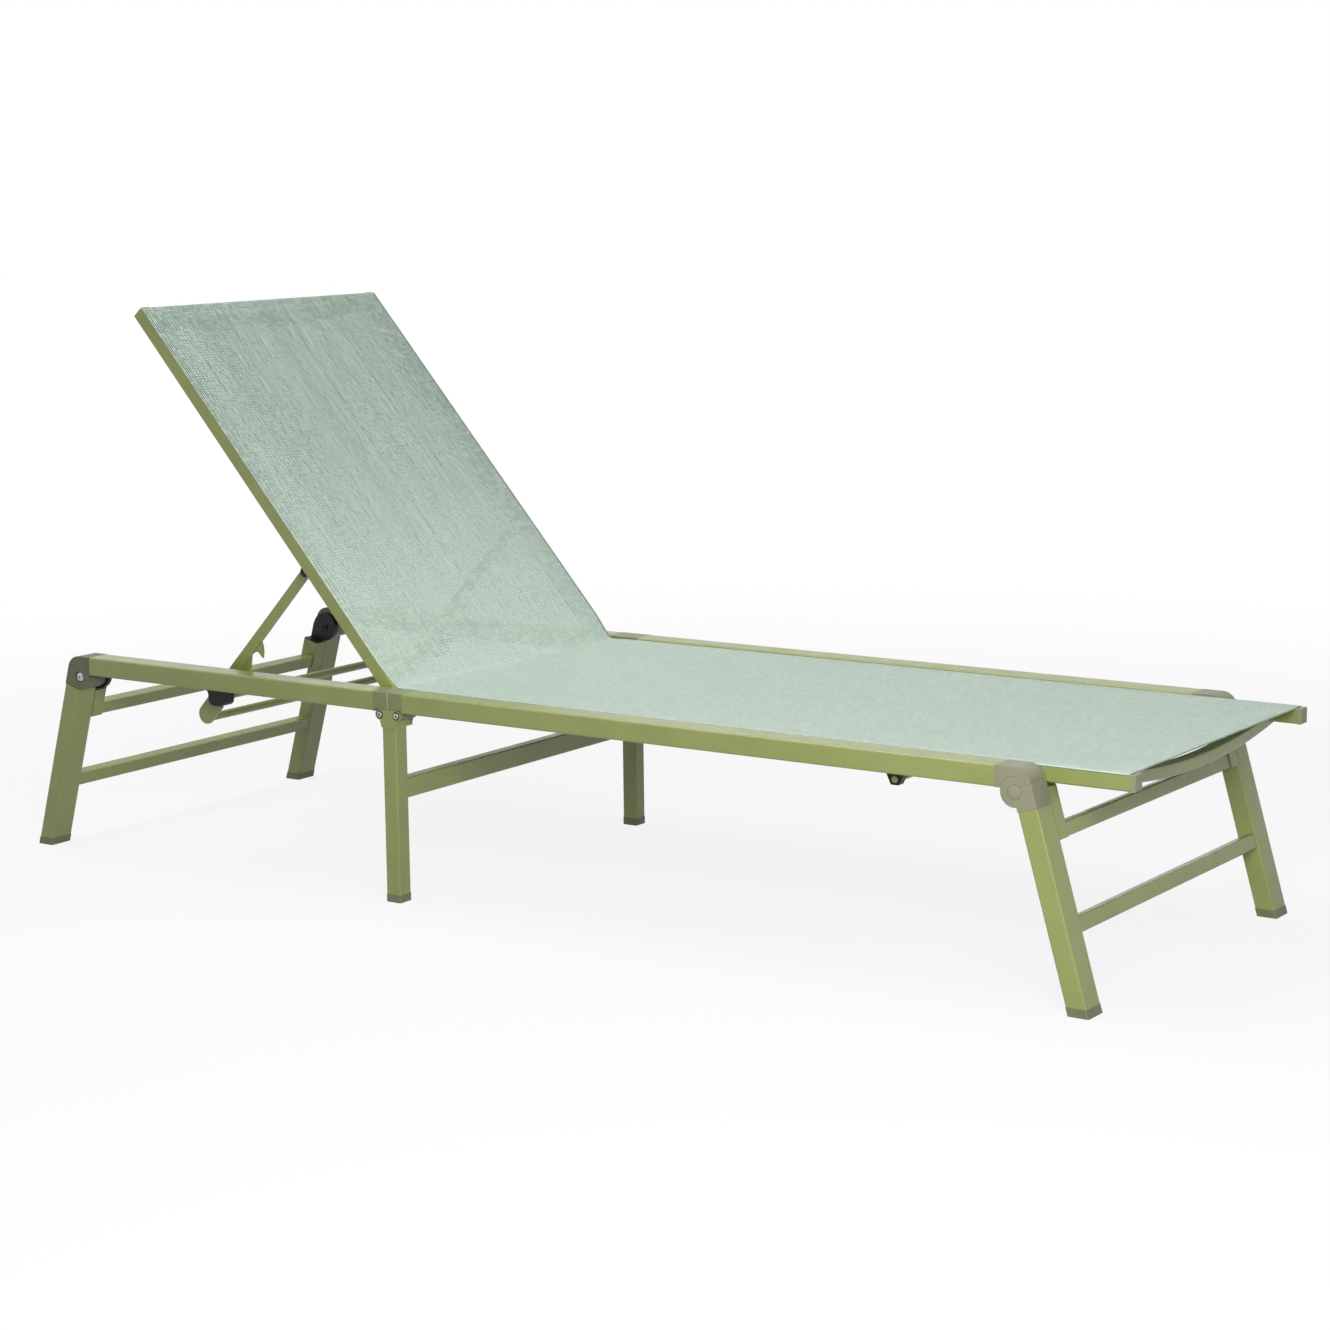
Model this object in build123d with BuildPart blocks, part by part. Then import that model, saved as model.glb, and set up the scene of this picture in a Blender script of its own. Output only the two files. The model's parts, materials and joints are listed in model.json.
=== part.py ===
from build123d import *
import math
import os

# Folding sun lounger, millimetres, +Z up, +X towards the foot end, -Y the near side.
# The origin is on the ground, under the middle of the length and the width.

# Outer frame: one rectangular tube on each side, in two halves
WIDTH = 660.0
RAIL_TOP = 326.0
RAIL_W = 42.0
RAIL_H = 30.0
WALL = 1.6
TUBE_R = 3.0
SEAT_LEN = 1065.0
HEAD_LEN = 653.0
FOOT_REACH = 153.0

# Inner rails that carry the sling
INNER_W = 22.0
INNER_H = 23.0
INNER_GAP = 2.0
INNER_DROP = 3.0
INNER_START = 12.5
CAP_T = 6.0

# Legs
PIVOT_DROP = 4.0
LEG_SPLAY = 16.0
LEG_INSET = 2.5
LEG_T = 30.0
STUB_W = 24.0
FOOT_H = 12.0
FOOT_LIP = 0.5
PLUG_LEN = 26.0
UPPER_BAR_ALONG = 66.5
UPPER_BAR_H = 21.0
LOWER_BAR_ALONG = 192.0
LOWER_BAR_H = 22.0
LEG_BAR_T = 20.0
LEG_BAR_SET = 2.0
PAD_H = 5.0
PAD_START = 2.0

# Rear corner hinge
REAR_CUT = 21.5
LOBE_R = 21.0
EAR_R = 25.0
EAR_T = 8.0
EAR_CAP_H = 2.0
REAR_STUB_CUT = 29.5
REAR_FITTING = 24.0
CORNER_R = 24.0
REAR_PIN_R = 5.0
RECESS_R = 9.0
RECESS_DEPTH = 4.0

# Front hub
HUB_FITTING = 30.0
HUB_SEAM = 27.5
HUB_CORNER_R = 23.0
CHEEK_R = 21.0
CHEEK_W = 12.0
STOP_ANGLE = 32.0
HUB_PIN_R = 6.0
BUTTON_R = 10.4
BUTTON_GROOVE = 0.8

# Middle hinge, two pins under a butt joint
MID_PIN_OFFSET = 16.0
MID_PIN_DROP = 4.5
MID_PIN_R = 3.0
MID_EAR_R = 8.0
MID_LUG_R = 7.5
MID_CHEEK_W = 4.0
MID_BLOCK_LEN = 28.7
MID_RECESS = 4.0
MID_RECESS_LEN = 25.0
MID_LEG_W = 27.0
MID_LEG_SET = 2.0
MID_HEAD_BOTTOM = 272.0
MID_HEAD_BODY = 11.5
MID_NECK = 8.0
MID_BAR_H = 32.0
MID_BAR_Z = 175.0
MID_BAR_T = 20.0

# Backrest
BACK_ANGLE = 48.6
BACK_LEN = 766.0
BACK_PIVOT_X = -25.0
BACK_PIN_R = 5.0
BACK_LUG_LEN = 30.0
HINGE_PLATE_T = 5.0
HINGE_PLATE_REACH = 70.0
TOP_BAR_SET = 6.0
BAR_DEPTH = 20.0
BAR_BOW = 24.0
FOOT_BAR_REACH = 97.0
FOOT_BAR_H = 19.0

# Backrest prop, with hooked plates over a fixed rod
PROP_PIVOT_ALONG = 258.7
PROP_PIVOT_BEHIND = 26.6
PROP_ANGLE = 47.1
ARM_W = 16.5
ARM_T = 5.0
HOOK_SET = 1.2
PROP_PLATE_T = 3.0
PROP_GAP = 0.5
PROP_PIN_R = 4.0
PROP_HEAD_R = 7.0
PROP_HEAD_T = 4.0
NOTCHES = 3
NOTCH_PITCH = 47.0
NOTCH_CLEAR = 0.6
NOSE_BASE = (10.0, 24.0)
NOSE_SIDE = (12.2, 17.7)
NOSE_OUTER = (13.3, 8.6)
NOSE_TIP = (12.0, -2.2)
NOSE_INNER = (5.5, 4.5)
NOTCH_SHOULDER = (-7.5, 5.0)
WALL_TOP = (-12.4, -0.5)
WALL_FOOT = (-15.3, -22.5)
END_OFFSET = (-50.0, -36.0)
END_R = 16.0
PROP_ROD_OFFSET = (7.5, -4.5)
PROP_ROD_R = 6.5

# Fixed rods under the rails and their brackets
ROD_R = 6.5
RATCHET_ROD_X = -390.0
RATCHET_ROD_DROP = 20.5
SEAT_ROD_BACK = 206.0
SEAT_ROD_R = 5.0
SEAT_ROD_DROP = 17.0
HEAD_BRACKET_W = 23.4
HEAD_BRACKET_TOP = 68.0
HEAD_BRACKET_WAIST = 36.0
HEAD_BRACKET_FLARE = 13.0
HEAD_BRACKET_FOOT = 31.0
HEAD_BRACKET_WALL = 7.0
HEAD_BRACKET_R = 10.0
HEAD_BRACKET_CAP = 3.0
SEAT_BRACKET_W = 12.0
SEAT_BRACKET_TOP = 40.0
SEAT_BRACKET_WALL = 3.0
TONGUE_T = 1.5
TONGUE_H = 22.0

# Sling, one taut mesh in two stretches
SLING_T = 1.5
SLING_GAP = 0.2
SLING_SAG = 6.0
SEAT_SLING_SET = 2.5
BACK_SLING_START = 14.0
SLING_END_SET = 2.0

# Fits
FIT = 0.06
GAP = 0.3
PLUG_GAP = 0.2
OVERRUN = 5.0
EDGE_R = 1.5

# Places worked out from the sizes above
NEAR, FAR = -1, 1
SIDES = {"near": NEAR, "far": FAR}
SPLAY = math.radians(LEG_SPLAY)
SIN_L, COS_L = math.sin(SPLAY), math.cos(SPLAY)
BACK = math.radians(BACK_ANGLE)
SIN_B, COS_B = math.sin(BACK), math.cos(BACK)
PROP = math.radians(PROP_ANGLE)
SIN_P, COS_P = math.sin(PROP), math.cos(PROP)

RAIL_OUT = WIDTH / 2
RAIL_IN = RAIL_OUT - RAIL_W
RAIL_BOTTOM = RAIL_TOP - RAIL_H
PIVOT_Z = RAIL_BOTTOM - PIVOT_DROP
INNER_OUT = RAIL_IN - INNER_GAP
INNER_IN = INNER_OUT - INNER_W
INNER_TOP = RAIL_TOP - INNER_DROP
INNER_BOTTOM = INNER_TOP - INNER_H
INNER_MID = INNER_TOP - INNER_H / 2
STUB_IN = RAIL_IN - STUB_W
PLUG_INSET = WALL + PLUG_GAP
PLUG_W = RAIL_W - 2 * PLUG_INSET
SPACER_TOP = INNER_TOP - INNER_DROP
LEG_OUT = LEG_T - LEG_INSET
MID_PIN_Z = RAIL_BOTTOM - MID_PIN_DROP
FOOT_END = SEAT_LEN + FOOT_REACH


def leg_along(height, outward):
    """Distance down a leg, from its pivot, at which a line of the leg reaches a height."""
    return (PIVOT_Z + outward * SIN_L - height) / COS_L


# The rear foot and the foot end of the rails set the length, and the origin is halfway
REAR_FOOT = HEAD_LEN + leg_along(0, LEG_OUT + FOOT_LIP) * SIN_L + (LEG_OUT + FOOT_LIP) * COS_L
HINGE_X = -(FOOT_END - REAR_FOOT) / 2


def at(x, z):
    """A point of a side view, with x measured from the middle hinge."""
    return (HINGE_X + x, z)


def leg_point(end, along, outward):
    """A point of a leg frame's side view: end is 1 at the foot end and -1 at the head end."""
    pivot = SEAT_LEN if end > 0 else -HEAD_LEN
    x = pivot + end * (along * SIN_L + outward * COS_L)
    return at(x, PIVOT_Z - along * COS_L + outward * SIN_L)


def back_point(along, behind):
    """A point of the backrest's side view, along its rail and behind the rail's middle."""
    x = BACK_PIVOT_X - along * COS_B - behind * SIN_B
    return at(x, INNER_MID + along * SIN_B - behind * COS_B)


def side_plane(side, inner, depth):
    """The side view's plane from which a piece of this depth fills inner to inner + depth."""
    return Plane.XZ.offset(inner if side == NEAR else -(inner + depth))


def across_plane(half):
    """The side view's plane from which an extrusion of twice this half crosses the frame."""
    return Plane.XZ.offset(-half)


def face_of(points, mode=Mode.ADD):
    """Fill a closed outline in the sketch at hand."""
    Polygon(*points, mode=mode)


def quad(point, start, end, low, high):
    """Four corners in a side view's own directions."""
    return [point(start, low), point(end, low), point(end, high), point(start, high)]


def disc(centre, radius, mode=Mode.ADD):
    """A disc at a point of the sketch at hand."""
    with Locations(centre):
        Circle(radius, mode=mode)


def save(name, piece):
    """Label a finished piece and write it."""
    piece.label = name
    export_step(piece, f"parts/{name}.step")


def side_tube(side, inner, depth, outline, core):
    """A rectangular tube seen from the side, its long edges rounded."""
    with BuildPart() as tube:
        with BuildSketch(side_plane(side, inner, depth)):
            face_of(outline)
        extrude(amount=depth)
        fillet(tube.edges().sort_by(SortBy.LENGTH)[-4:], TUBE_R)
        with BuildSketch(side_plane(side, inner + WALL, depth - 2 * WALL)):
            face_of(core)
        extrude(amount=depth - 2 * WALL, mode=Mode.SUBTRACT)
    return tube.part


def cross_tube(half, outline, core):
    """A rectangular tube from one side of the frame to the other."""
    with BuildPart() as tube:
        with BuildSketch(across_plane(half)):
            face_of(outline)
        extrude(amount=2 * half)
        fillet(tube.edges().filter_by(Axis.Y), TUBE_R)
        with BuildSketch(across_plane(half)):
            face_of(core)
        extrude(amount=2 * half, mode=Mode.SUBTRACT)
    return tube.part


def rod(half, centre, radius):
    """A round bar from one side of the frame to the other."""
    with BuildPart() as bar:
        with BuildSketch(across_plane(half)):
            disc(centre, radius)
        extrude(amount=2 * half)
        chamfer(bar.edges().filter_by(GeomType.CIRCLE), WALL / 2)
    return bar.part


def bowed_bar(plane, height):
    """A flat bar between the inner rails, bowed away from the sling."""
    with BuildPart() as bar:
        with BuildSketch(plane):
            add(bowed_band(INNER_IN, 0, height))
        extrude(amount=BAR_DEPTH)
        fillet(bar.edges().filter_by(GeomType.CIRCLE), TUBE_R)
        with BuildSketch(plane.offset(WALL)):
            add(bowed_band(INNER_IN, WALL, height - WALL))
        extrude(amount=BAR_DEPTH - 2 * WALL, mode=Mode.SUBTRACT)
    return bar.part


def bowed_band(half, top, bottom):
    """The face between two like arcs, sagging by the bow at the middle."""
    with BuildSketch() as band:
        with BuildLine():
            upper = ThreePointArc((-half, top), (0, top + BAR_BOW), (half, top))
            lower = ThreePointArc((-half, bottom), (0, bottom + BAR_BOW), (half, bottom))
            Line(upper @ 0, lower @ 0)
            Line(upper @ 1, lower @ 1)
        make_face()
    return band.sketch


# Outer rails
def outer_rail(side, start, end):
    """One half of an outer rail."""
    outline = quad(at, start, end, RAIL_BOTTOM, RAIL_TOP)
    core = quad(at, start - OVERRUN, end + OVERRUN, RAIL_BOTTOM + WALL, RAIL_TOP - WALL)
    return side_tube(side, RAIL_IN, RAIL_W, outline, core)


def plug_outline(start, end):
    """The side view of a plug in an outer rail's bore."""
    return quad(at, start, end, RAIL_BOTTOM + PLUG_INSET, RAIL_TOP - PLUG_INSET)


# Middle hinge blocks
def hinge_block(side, end):
    """The end piece of a rail at the middle hinge, with the lug for its pin."""
    lug_in = RAIL_IN + MID_CHEEK_W + GAP
    lug_w = RAIL_W - 2 * (MID_CHEEK_W + GAP)
    pin = at(end * MID_PIN_OFFSET, MID_PIN_Z)
    seat = RAIL_BOTTOM + MID_RECESS
    with BuildPart() as block:
        with BuildSketch(side_plane(side, RAIL_IN, RAIL_W)):
            face_of(
                [
                    at(end * GAP / 2, RAIL_TOP),
                    at(end * MID_BLOCK_LEN, RAIL_TOP),
                    at(end * MID_BLOCK_LEN, RAIL_BOTTOM),
                    at(end * MID_RECESS_LEN, RAIL_BOTTOM),
                    at(end * MID_RECESS_LEN, seat),
                    at(end * GAP / 2, seat),
                ]
            )
        extrude(amount=RAIL_W)
        with BuildSketch(side_plane(side, lug_in, lug_w)):
            disc(pin, MID_LUG_R)
            inner_x = end * (MID_PIN_OFFSET - MID_LUG_R)
            outer_x = end * (MID_PIN_OFFSET + MID_LUG_R)
            face_of(quad(at, inner_x, outer_x, MID_PIN_Z, seat))
            disc(pin, MID_PIN_R + FIT, mode=Mode.SUBTRACT)
        extrude(amount=lug_w)
        with BuildSketch(side_plane(side, RAIL_IN + PLUG_INSET, PLUG_W)):
            face_of(plug_outline(end * MID_BLOCK_LEN, end * (MID_BLOCK_LEN + PLUG_LEN)))
        extrude(amount=PLUG_W)
        if end > 0:
            with BuildSketch(side_plane(side, INNER_OUT, INNER_GAP)):
                face_of(quad(at, MID_RECESS, MID_BLOCK_LEN, INNER_BOTTOM, SPACER_TOP))
            extrude(amount=INNER_GAP)
    return block.part


# Middle legs
def mid_leg_head(side):
    """The forked head of a middle leg, with both of its pins."""
    half = MID_LEG_W / 2
    body_top = MID_HEAD_BOTTOM + MID_HEAD_BODY
    pins = [at(end * MID_PIN_OFFSET, MID_PIN_Z) for end in (-1, 1)]
    plug = MID_LEG_W - 2 * PLUG_INSET
    leg_in = RAIL_OUT - MID_LEG_SET - MID_LEG_W
    with BuildPart() as head:
        for inner in (RAIL_IN, RAIL_OUT - MID_CHEEK_W):
            with BuildSketch(side_plane(side, inner, MID_CHEEK_W)):
                for pin in pins:
                    disc(pin, MID_EAR_R)
                top, low = MID_PIN_Z + MID_EAR_R, MID_PIN_Z - MID_EAR_R
                face_of(quad(at, -MID_PIN_OFFSET, MID_PIN_OFFSET, low, top))
                face_of(
                    [
                        at(-MID_PIN_OFFSET, low),
                        at(-half, low - MID_NECK),
                        at(half, low - MID_NECK),
                        at(MID_PIN_OFFSET, low),
                    ]
                )
                face_of(quad(at, -half, half, MID_HEAD_BOTTOM, low))
            extrude(amount=MID_CHEEK_W)
        with BuildSketch(side_plane(side, RAIL_IN, RAIL_W)):
            face_of(quad(at, -half, half, MID_HEAD_BOTTOM, body_top))
            for pin in pins:
                disc(pin, MID_PIN_R)
        extrude(amount=RAIL_W)
        with BuildSketch(side_plane(side, leg_in + (MID_LEG_W - plug) / 2, plug)):
            low = MID_HEAD_BOTTOM - PLUG_LEN
            face_of(quad(at, -plug / 2, plug / 2, low, MID_HEAD_BOTTOM))
        extrude(amount=plug)
    return head.part


def mid_leg(side):
    """A middle leg, upright under the butt joint."""
    half = MID_LEG_W / 2
    leg_in = RAIL_OUT - MID_LEG_SET - MID_LEG_W
    outline = quad(at, -half, half, FOOT_H, MID_HEAD_BOTTOM)
    bore = half - WALL
    core = quad(at, -bore, bore, FOOT_H - OVERRUN, MID_HEAD_BOTTOM + OVERRUN)
    return side_tube(side, leg_in, MID_LEG_W, outline, core)


def mid_foot(side):
    """The foot cap of a middle leg."""
    half = MID_LEG_W / 2 + FOOT_LIP
    plug = MID_LEG_W / 2 - PLUG_INSET
    centre = RAIL_OUT - MID_LEG_SET - MID_LEG_W / 2
    with BuildPart() as foot:
        with BuildSketch(side_plane(side, centre - half, 2 * half)):
            face_of(quad(at, -half, half, 0, FOOT_H))
        extrude(amount=2 * half)
        fillet(foot.edges().filter_by(Axis.Z), TUBE_R)
        with BuildSketch(side_plane(side, centre - plug, 2 * plug)):
            face_of(quad(at, -plug, plug, FOOT_H, FOOT_H + PLUG_LEN))
        extrude(amount=2 * plug)
    return foot.part


def mid_crossbar():
    """The tall bar between the middle legs."""
    half = RAIL_OUT - MID_LEG_SET - MID_LEG_W
    low, high = MID_BAR_Z - MID_BAR_H / 2, MID_BAR_Z + MID_BAR_H / 2
    depth = MID_BAR_T / 2
    outline = quad(at, -depth, depth, low, high)
    core = quad(at, WALL - depth, depth - WALL, low + WALL, high - WALL)
    return cross_tube(half, outline, core)


# End legs
def end_leg(side, end, cut, stub_top):
    """A splayed leg with the short stub tube beside its head."""

    def here(along, outward):
        return leg_point(end, along, outward)

    def slanted(outward, lift):
        return here(leg_along(FOOT_H + lift, outward), outward)

    low, high = -LEG_INSET, LEG_OUT
    stub_foot = UPPER_BAR_ALONG + UPPER_BAR_H / 2
    outline = [here(cut, low), slanted(low, 0), slanted(high, 0), here(cut, high)]
    core = [
        here(cut - OVERRUN, low + WALL),
        slanted(low + WALL, -OVERRUN),
        slanted(high - WALL, -OVERRUN),
        here(cut - OVERRUN, high - WALL),
    ]
    shell = side_tube(side, RAIL_IN, RAIL_W, outline, core)
    with BuildPart() as leg:
        add(shell)
        with BuildSketch(side_plane(side, STUB_IN, STUB_W)):
            face_of([stub_top(low), here(stub_foot, low), here(stub_foot, high), stub_top(high)])
        extrude(amount=STUB_W)
        with BuildSketch(side_plane(side, STUB_IN + WALL, STUB_W - 2 * WALL)):
            inner_low, inner_high = low + WALL, high - WALL
            face_of(
                [
                    stub_top(inner_low, OVERRUN),
                    here(stub_foot - WALL, inner_low),
                    here(stub_foot - WALL, inner_high),
                    stub_top(inner_high, OVERRUN),
                ]
            )
        extrude(amount=STUB_W - 2 * WALL, mode=Mode.SUBTRACT)
    return leg.part


def rear_stub_top(outward, lift=0.0):
    """The rear stubs end square, a little below the leg's own end."""
    return leg_point(-1, REAR_STUB_CUT - lift, outward)


def front_stub_top(outward, lift=0.0):
    """The front stubs end level with the ground, under the pads."""
    height = INNER_BOTTOM - GAP - PAD_H + lift
    return leg_point(1, leg_along(height, outward), outward)


def leg_bar(end, along, height, half):
    """A crossbar of an end leg frame, set in a little from the +X faces of the legs."""
    face = LEG_OUT - LEG_BAR_SET if end > 0 else LEG_BAR_T - LEG_INSET + LEG_BAR_SET

    def here(down, outward):
        return leg_point(end, down, outward)

    low, high = along - height / 2, along + height / 2
    outline = quad(here, low, high, face - LEG_BAR_T, face)
    core = quad(here, low + WALL, high - WALL, face - LEG_BAR_T + WALL, face - WALL)
    return cross_tube(half, outline, core)


def end_foot(side, end):
    """The foot cap of a splayed leg, level underneath."""
    low, high = -LEG_INSET - FOOT_LIP, LEG_OUT + FOOT_LIP
    bore_low, bore_high = PLUG_INSET - LEG_INSET, LEG_OUT - PLUG_INSET

    def level(outward, height):
        return leg_point(end, leg_along(height, outward), outward)

    with BuildPart() as foot:
        with BuildSketch(side_plane(side, RAIL_IN - FOOT_LIP, RAIL_W + 2 * FOOT_LIP)):
            face_of([level(low, 0), level(high, 0), level(high, FOOT_H), level(low, FOOT_H)])
        extrude(amount=RAIL_W + 2 * FOOT_LIP)
        fillet(foot.edges().sort_by(SortBy.LENGTH)[:4], TUBE_R)
        with BuildSketch(side_plane(side, RAIL_IN + PLUG_INSET, PLUG_W)):
            top = FOOT_H + PLUG_LEN
            face_of(
                [
                    level(bore_low, FOOT_H),
                    level(bore_high, FOOT_H),
                    level(bore_high, top),
                    level(bore_low, top),
                ]
            )
        extrude(amount=PLUG_W)
    return foot.part


# Rear corner hinge
def rear_corner(side):
    """The rail's end piece at the head end: a lobe round the pivot and a stop for the leg."""
    pivot = leg_point(-1, 0, 0)
    stop = REAR_CUT - GAP
    rise = (RAIL_TOP - leg_point(-1, 0, LEG_OUT)[1]) / COS_L
    with BuildPart() as corner:
        with BuildSketch(side_plane(side, RAIL_IN, RAIL_W)) as profile:
            face_of(
                [
                    at(REAR_FITTING - HEAD_LEN, RAIL_TOP),
                    at(REAR_FITTING - HEAD_LEN, RAIL_BOTTOM),
                    pivot,
                    leg_point(-1, stop, 0),
                    leg_point(-1, stop, LEG_OUT),
                    leg_point(-1, -rise, LEG_OUT),
                ]
            )
            crown = profile.vertices().group_by(Axis.Y)[-1].sort_by(Axis.X)[0]
            fillet(crown, CORNER_R)
            disc(pivot, LOBE_R)
            disc(pivot, REAR_PIN_R + FIT, mode=Mode.SUBTRACT)
        extrude(amount=RAIL_W)
        with BuildSketch(side_plane(side, RAIL_OUT - RECESS_DEPTH, RECESS_DEPTH)):
            disc(pivot, RECESS_R)
        extrude(amount=RECESS_DEPTH, mode=Mode.SUBTRACT)
        with BuildSketch(side_plane(side, RAIL_IN + PLUG_INSET, PLUG_W)):
            face_of(plug_outline(REAR_FITTING - HEAD_LEN, REAR_FITTING - HEAD_LEN + PLUG_LEN))
        extrude(amount=PLUG_W)
    return corner.part


def rear_ear(side):
    """The black ear on the top of a rear stub, with the leg frame's hinge pin."""
    pivot = leg_point(-1, 0, 0)
    cap_w = STUB_W - GAP
    ear_in = RAIL_IN - GAP - EAR_T

    def here(along, outward):
        return leg_point(-1, along, outward)

    with BuildPart() as ear:
        with BuildSketch(side_plane(side, ear_in, EAR_T)):
            disc(pivot, EAR_R)
            reach = EAR_R + OVERRUN
            face_of(quad(here, REAR_STUB_CUT, REAR_STUB_CUT + reach, -reach, reach), Mode.SUBTRACT)
            face_of(quad(here, 0, REAR_STUB_CUT, -LEG_INSET, LEG_OUT - EDGE_R))
        extrude(amount=EAR_T)
        with BuildSketch(side_plane(side, STUB_IN, cap_w)):
            face_of(quad(here, REAR_STUB_CUT - EAR_CAP_H, REAR_STUB_CUT, -LEG_INSET, LEG_OUT))
        extrude(amount=cap_w)
        with BuildSketch(side_plane(side, STUB_IN + PLUG_INSET, STUB_W - 2 * PLUG_INSET)):
            low, high = PLUG_INSET - LEG_INSET, LEG_OUT - PLUG_INSET
            face_of(quad(here, REAR_STUB_CUT, REAR_STUB_CUT + PLUG_LEN, low, high))
        extrude(amount=STUB_W - 2 * PLUG_INSET)
        with BuildSketch(side_plane(side, ear_in, RAIL_OUT - RECESS_DEPTH - ear_in)):
            disc(pivot, REAR_PIN_R)
        extrude(amount=RAIL_OUT - RECESS_DEPTH - ear_in)
    return ear.part


# Front hub
def hub_outer(along):
    """A point of the hub's outer edge, in line with the leg's outer face."""
    return leg_point(1, along, LEG_OUT)


def hub_stop(reach, turn=0.0):
    """A point on the radial stop face between the hub's halves."""
    angle = math.radians(STOP_ANGLE) + turn
    x = SEAT_LEN + reach * math.cos(angle)
    return at(x, PIVOT_Z + reach * math.sin(angle))


def hub_rail(side):
    """The rail's half of the hub: a shoulder over the leg and a tongue on the pivot."""
    pivot = leg_point(1, 0, 0)
    rise = (RAIL_TOP - hub_outer(0)[1]) / COS_L
    stop_reach = LEG_OUT / math.cos(math.radians(STOP_ANGLE) - SPLAY)
    tongue_in = RAIL_IN + CHEEK_W + GAP
    tongue_w = RAIL_W - 2 * (CHEEK_W + GAP)
    start = SEAT_LEN - HUB_FITTING
    reach = CHEEK_R + OVERRUN
    with BuildPart() as hub:
        with BuildSketch(side_plane(side, RAIL_IN, RAIL_W)) as profile:
            face_of(
                [
                    at(start, RAIL_TOP),
                    at(start, RAIL_BOTTOM),
                    at(SEAT_LEN, RAIL_BOTTOM),
                    pivot,
                    hub_stop(stop_reach),
                    hub_outer(-rise),
                ]
            )
            crown = profile.vertices().group_by(Axis.Y)[-1].sort_by(Axis.X)[-1]
            fillet(crown, HUB_CORNER_R)
            disc(pivot, CHEEK_R + GAP, mode=Mode.SUBTRACT)
        extrude(amount=RAIL_W)
        with BuildSketch(side_plane(side, tongue_in, tongue_w)):
            disc(pivot, CHEEK_R + 2 * GAP)
            swept = [
                pivot,
                hub_stop(2 * reach),
                at(SEAT_LEN + reach, PIVOT_Z - reach),
                at(SEAT_LEN - reach, PIVOT_Z - reach),
                at(SEAT_LEN - reach, RAIL_BOTTOM),
            ]
            face_of(swept, Mode.SUBTRACT)
            disc(pivot, CHEEK_R - GAP)
            disc(pivot, HUB_PIN_R + FIT, mode=Mode.SUBTRACT)
        extrude(amount=tongue_w)
        with BuildSketch(side_plane(side, RAIL_IN + PLUG_INSET, PLUG_W)):
            face_of(plug_outline(start - PLUG_LEN, start))
        extrude(amount=PLUG_W)
        with BuildSketch(side_plane(side, INNER_OUT, INNER_GAP)):
            face_of(quad(at, start, SEAT_LEN, RAIL_BOTTOM + INNER_DROP, SPACER_TOP))
            disc(pivot, CHEEK_R + GAP, mode=Mode.SUBTRACT)
        extrude(amount=INNER_GAP)
    return hub.part


def hub_leg(side):
    """The leg's half of the hub: two cheeks, the pin and a plug in the leg."""
    pivot = leg_point(1, 0, 0)
    stop_reach = LEG_OUT / math.cos(math.radians(STOP_ANGLE) - SPLAY)
    turn = -GAP / stop_reach
    seam = HUB_SEAM - PLUG_GAP

    def here(along, outward):
        return leg_point(1, along, outward)

    with BuildPart() as hub:
        with BuildSketch(side_plane(side, RAIL_IN, RAIL_W)):
            face_of(
                [
                    pivot,
                    hub_stop(stop_reach, turn),
                    here(seam, LEG_OUT),
                    here(seam, -LEG_INSET),
                    here(0, -LEG_INSET),
                ]
            )
            disc(pivot, CHEEK_R)
        extrude(amount=RAIL_W)
        with BuildSketch(side_plane(side, RAIL_IN + CHEEK_W, RAIL_W - 2 * CHEEK_W)):
            disc(pivot, CHEEK_R + GAP)
        extrude(amount=RAIL_W - 2 * CHEEK_W, mode=Mode.SUBTRACT)
        with BuildSketch(side_plane(side, RAIL_IN, RAIL_W)):
            disc(pivot, HUB_PIN_R)
        extrude(amount=RAIL_W)
        with BuildSketch(side_plane(side, RAIL_OUT - BUTTON_GROOVE, BUTTON_GROOVE)):
            disc(pivot, BUTTON_R)
            disc(pivot, BUTTON_R - BUTTON_GROOVE, mode=Mode.SUBTRACT)
        extrude(amount=BUTTON_GROOVE, mode=Mode.SUBTRACT)
        with BuildSketch(side_plane(side, RAIL_IN + PLUG_INSET, PLUG_W)):
            low, high = PLUG_INSET - LEG_INSET, LEG_OUT - PLUG_INSET
            face_of(quad(here, seam, HUB_SEAM + PLUG_LEN, low, high))
        extrude(amount=PLUG_W)
    return hub.part


def front_pad(side):
    """The black pad between a front stub and the inner rail."""
    low = INNER_BOTTOM - GAP - PAD_H
    right = leg_point(1, leg_along(low, LEG_OUT), LEG_OUT)[0] - HINGE_X - EDGE_R
    with BuildPart() as pad:
        with BuildSketch(side_plane(side, STUB_IN, STUB_W - GAP)):
            face_of(quad(at, SEAT_LEN + PAD_START, right, low, low + PAD_H))
        extrude(amount=STUB_W - GAP)
        with BuildSketch(side_plane(side, STUB_IN + PLUG_INSET, STUB_W - 2 * PLUG_INSET)):
            face_of(quad(at, SEAT_LEN + PAD_START, right - PLUG_INSET, low - 2 * PAD_H, low))
        extrude(amount=STUB_W - 2 * PLUG_INSET)
    return pad.part


# Inner rails and their ends
def seat_inner_rail(side):
    """A seat rail that carries the sling, past the hub to the foot end."""
    start, end = -INNER_START, FOOT_END - CAP_T
    outline = quad(at, start, end, INNER_BOTTOM, INNER_TOP)
    core = quad(at, start - OVERRUN, end + OVERRUN, INNER_BOTTOM + WALL, INNER_TOP - WALL)
    return side_tube(side, INNER_IN, INNER_W, outline, core)


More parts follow.
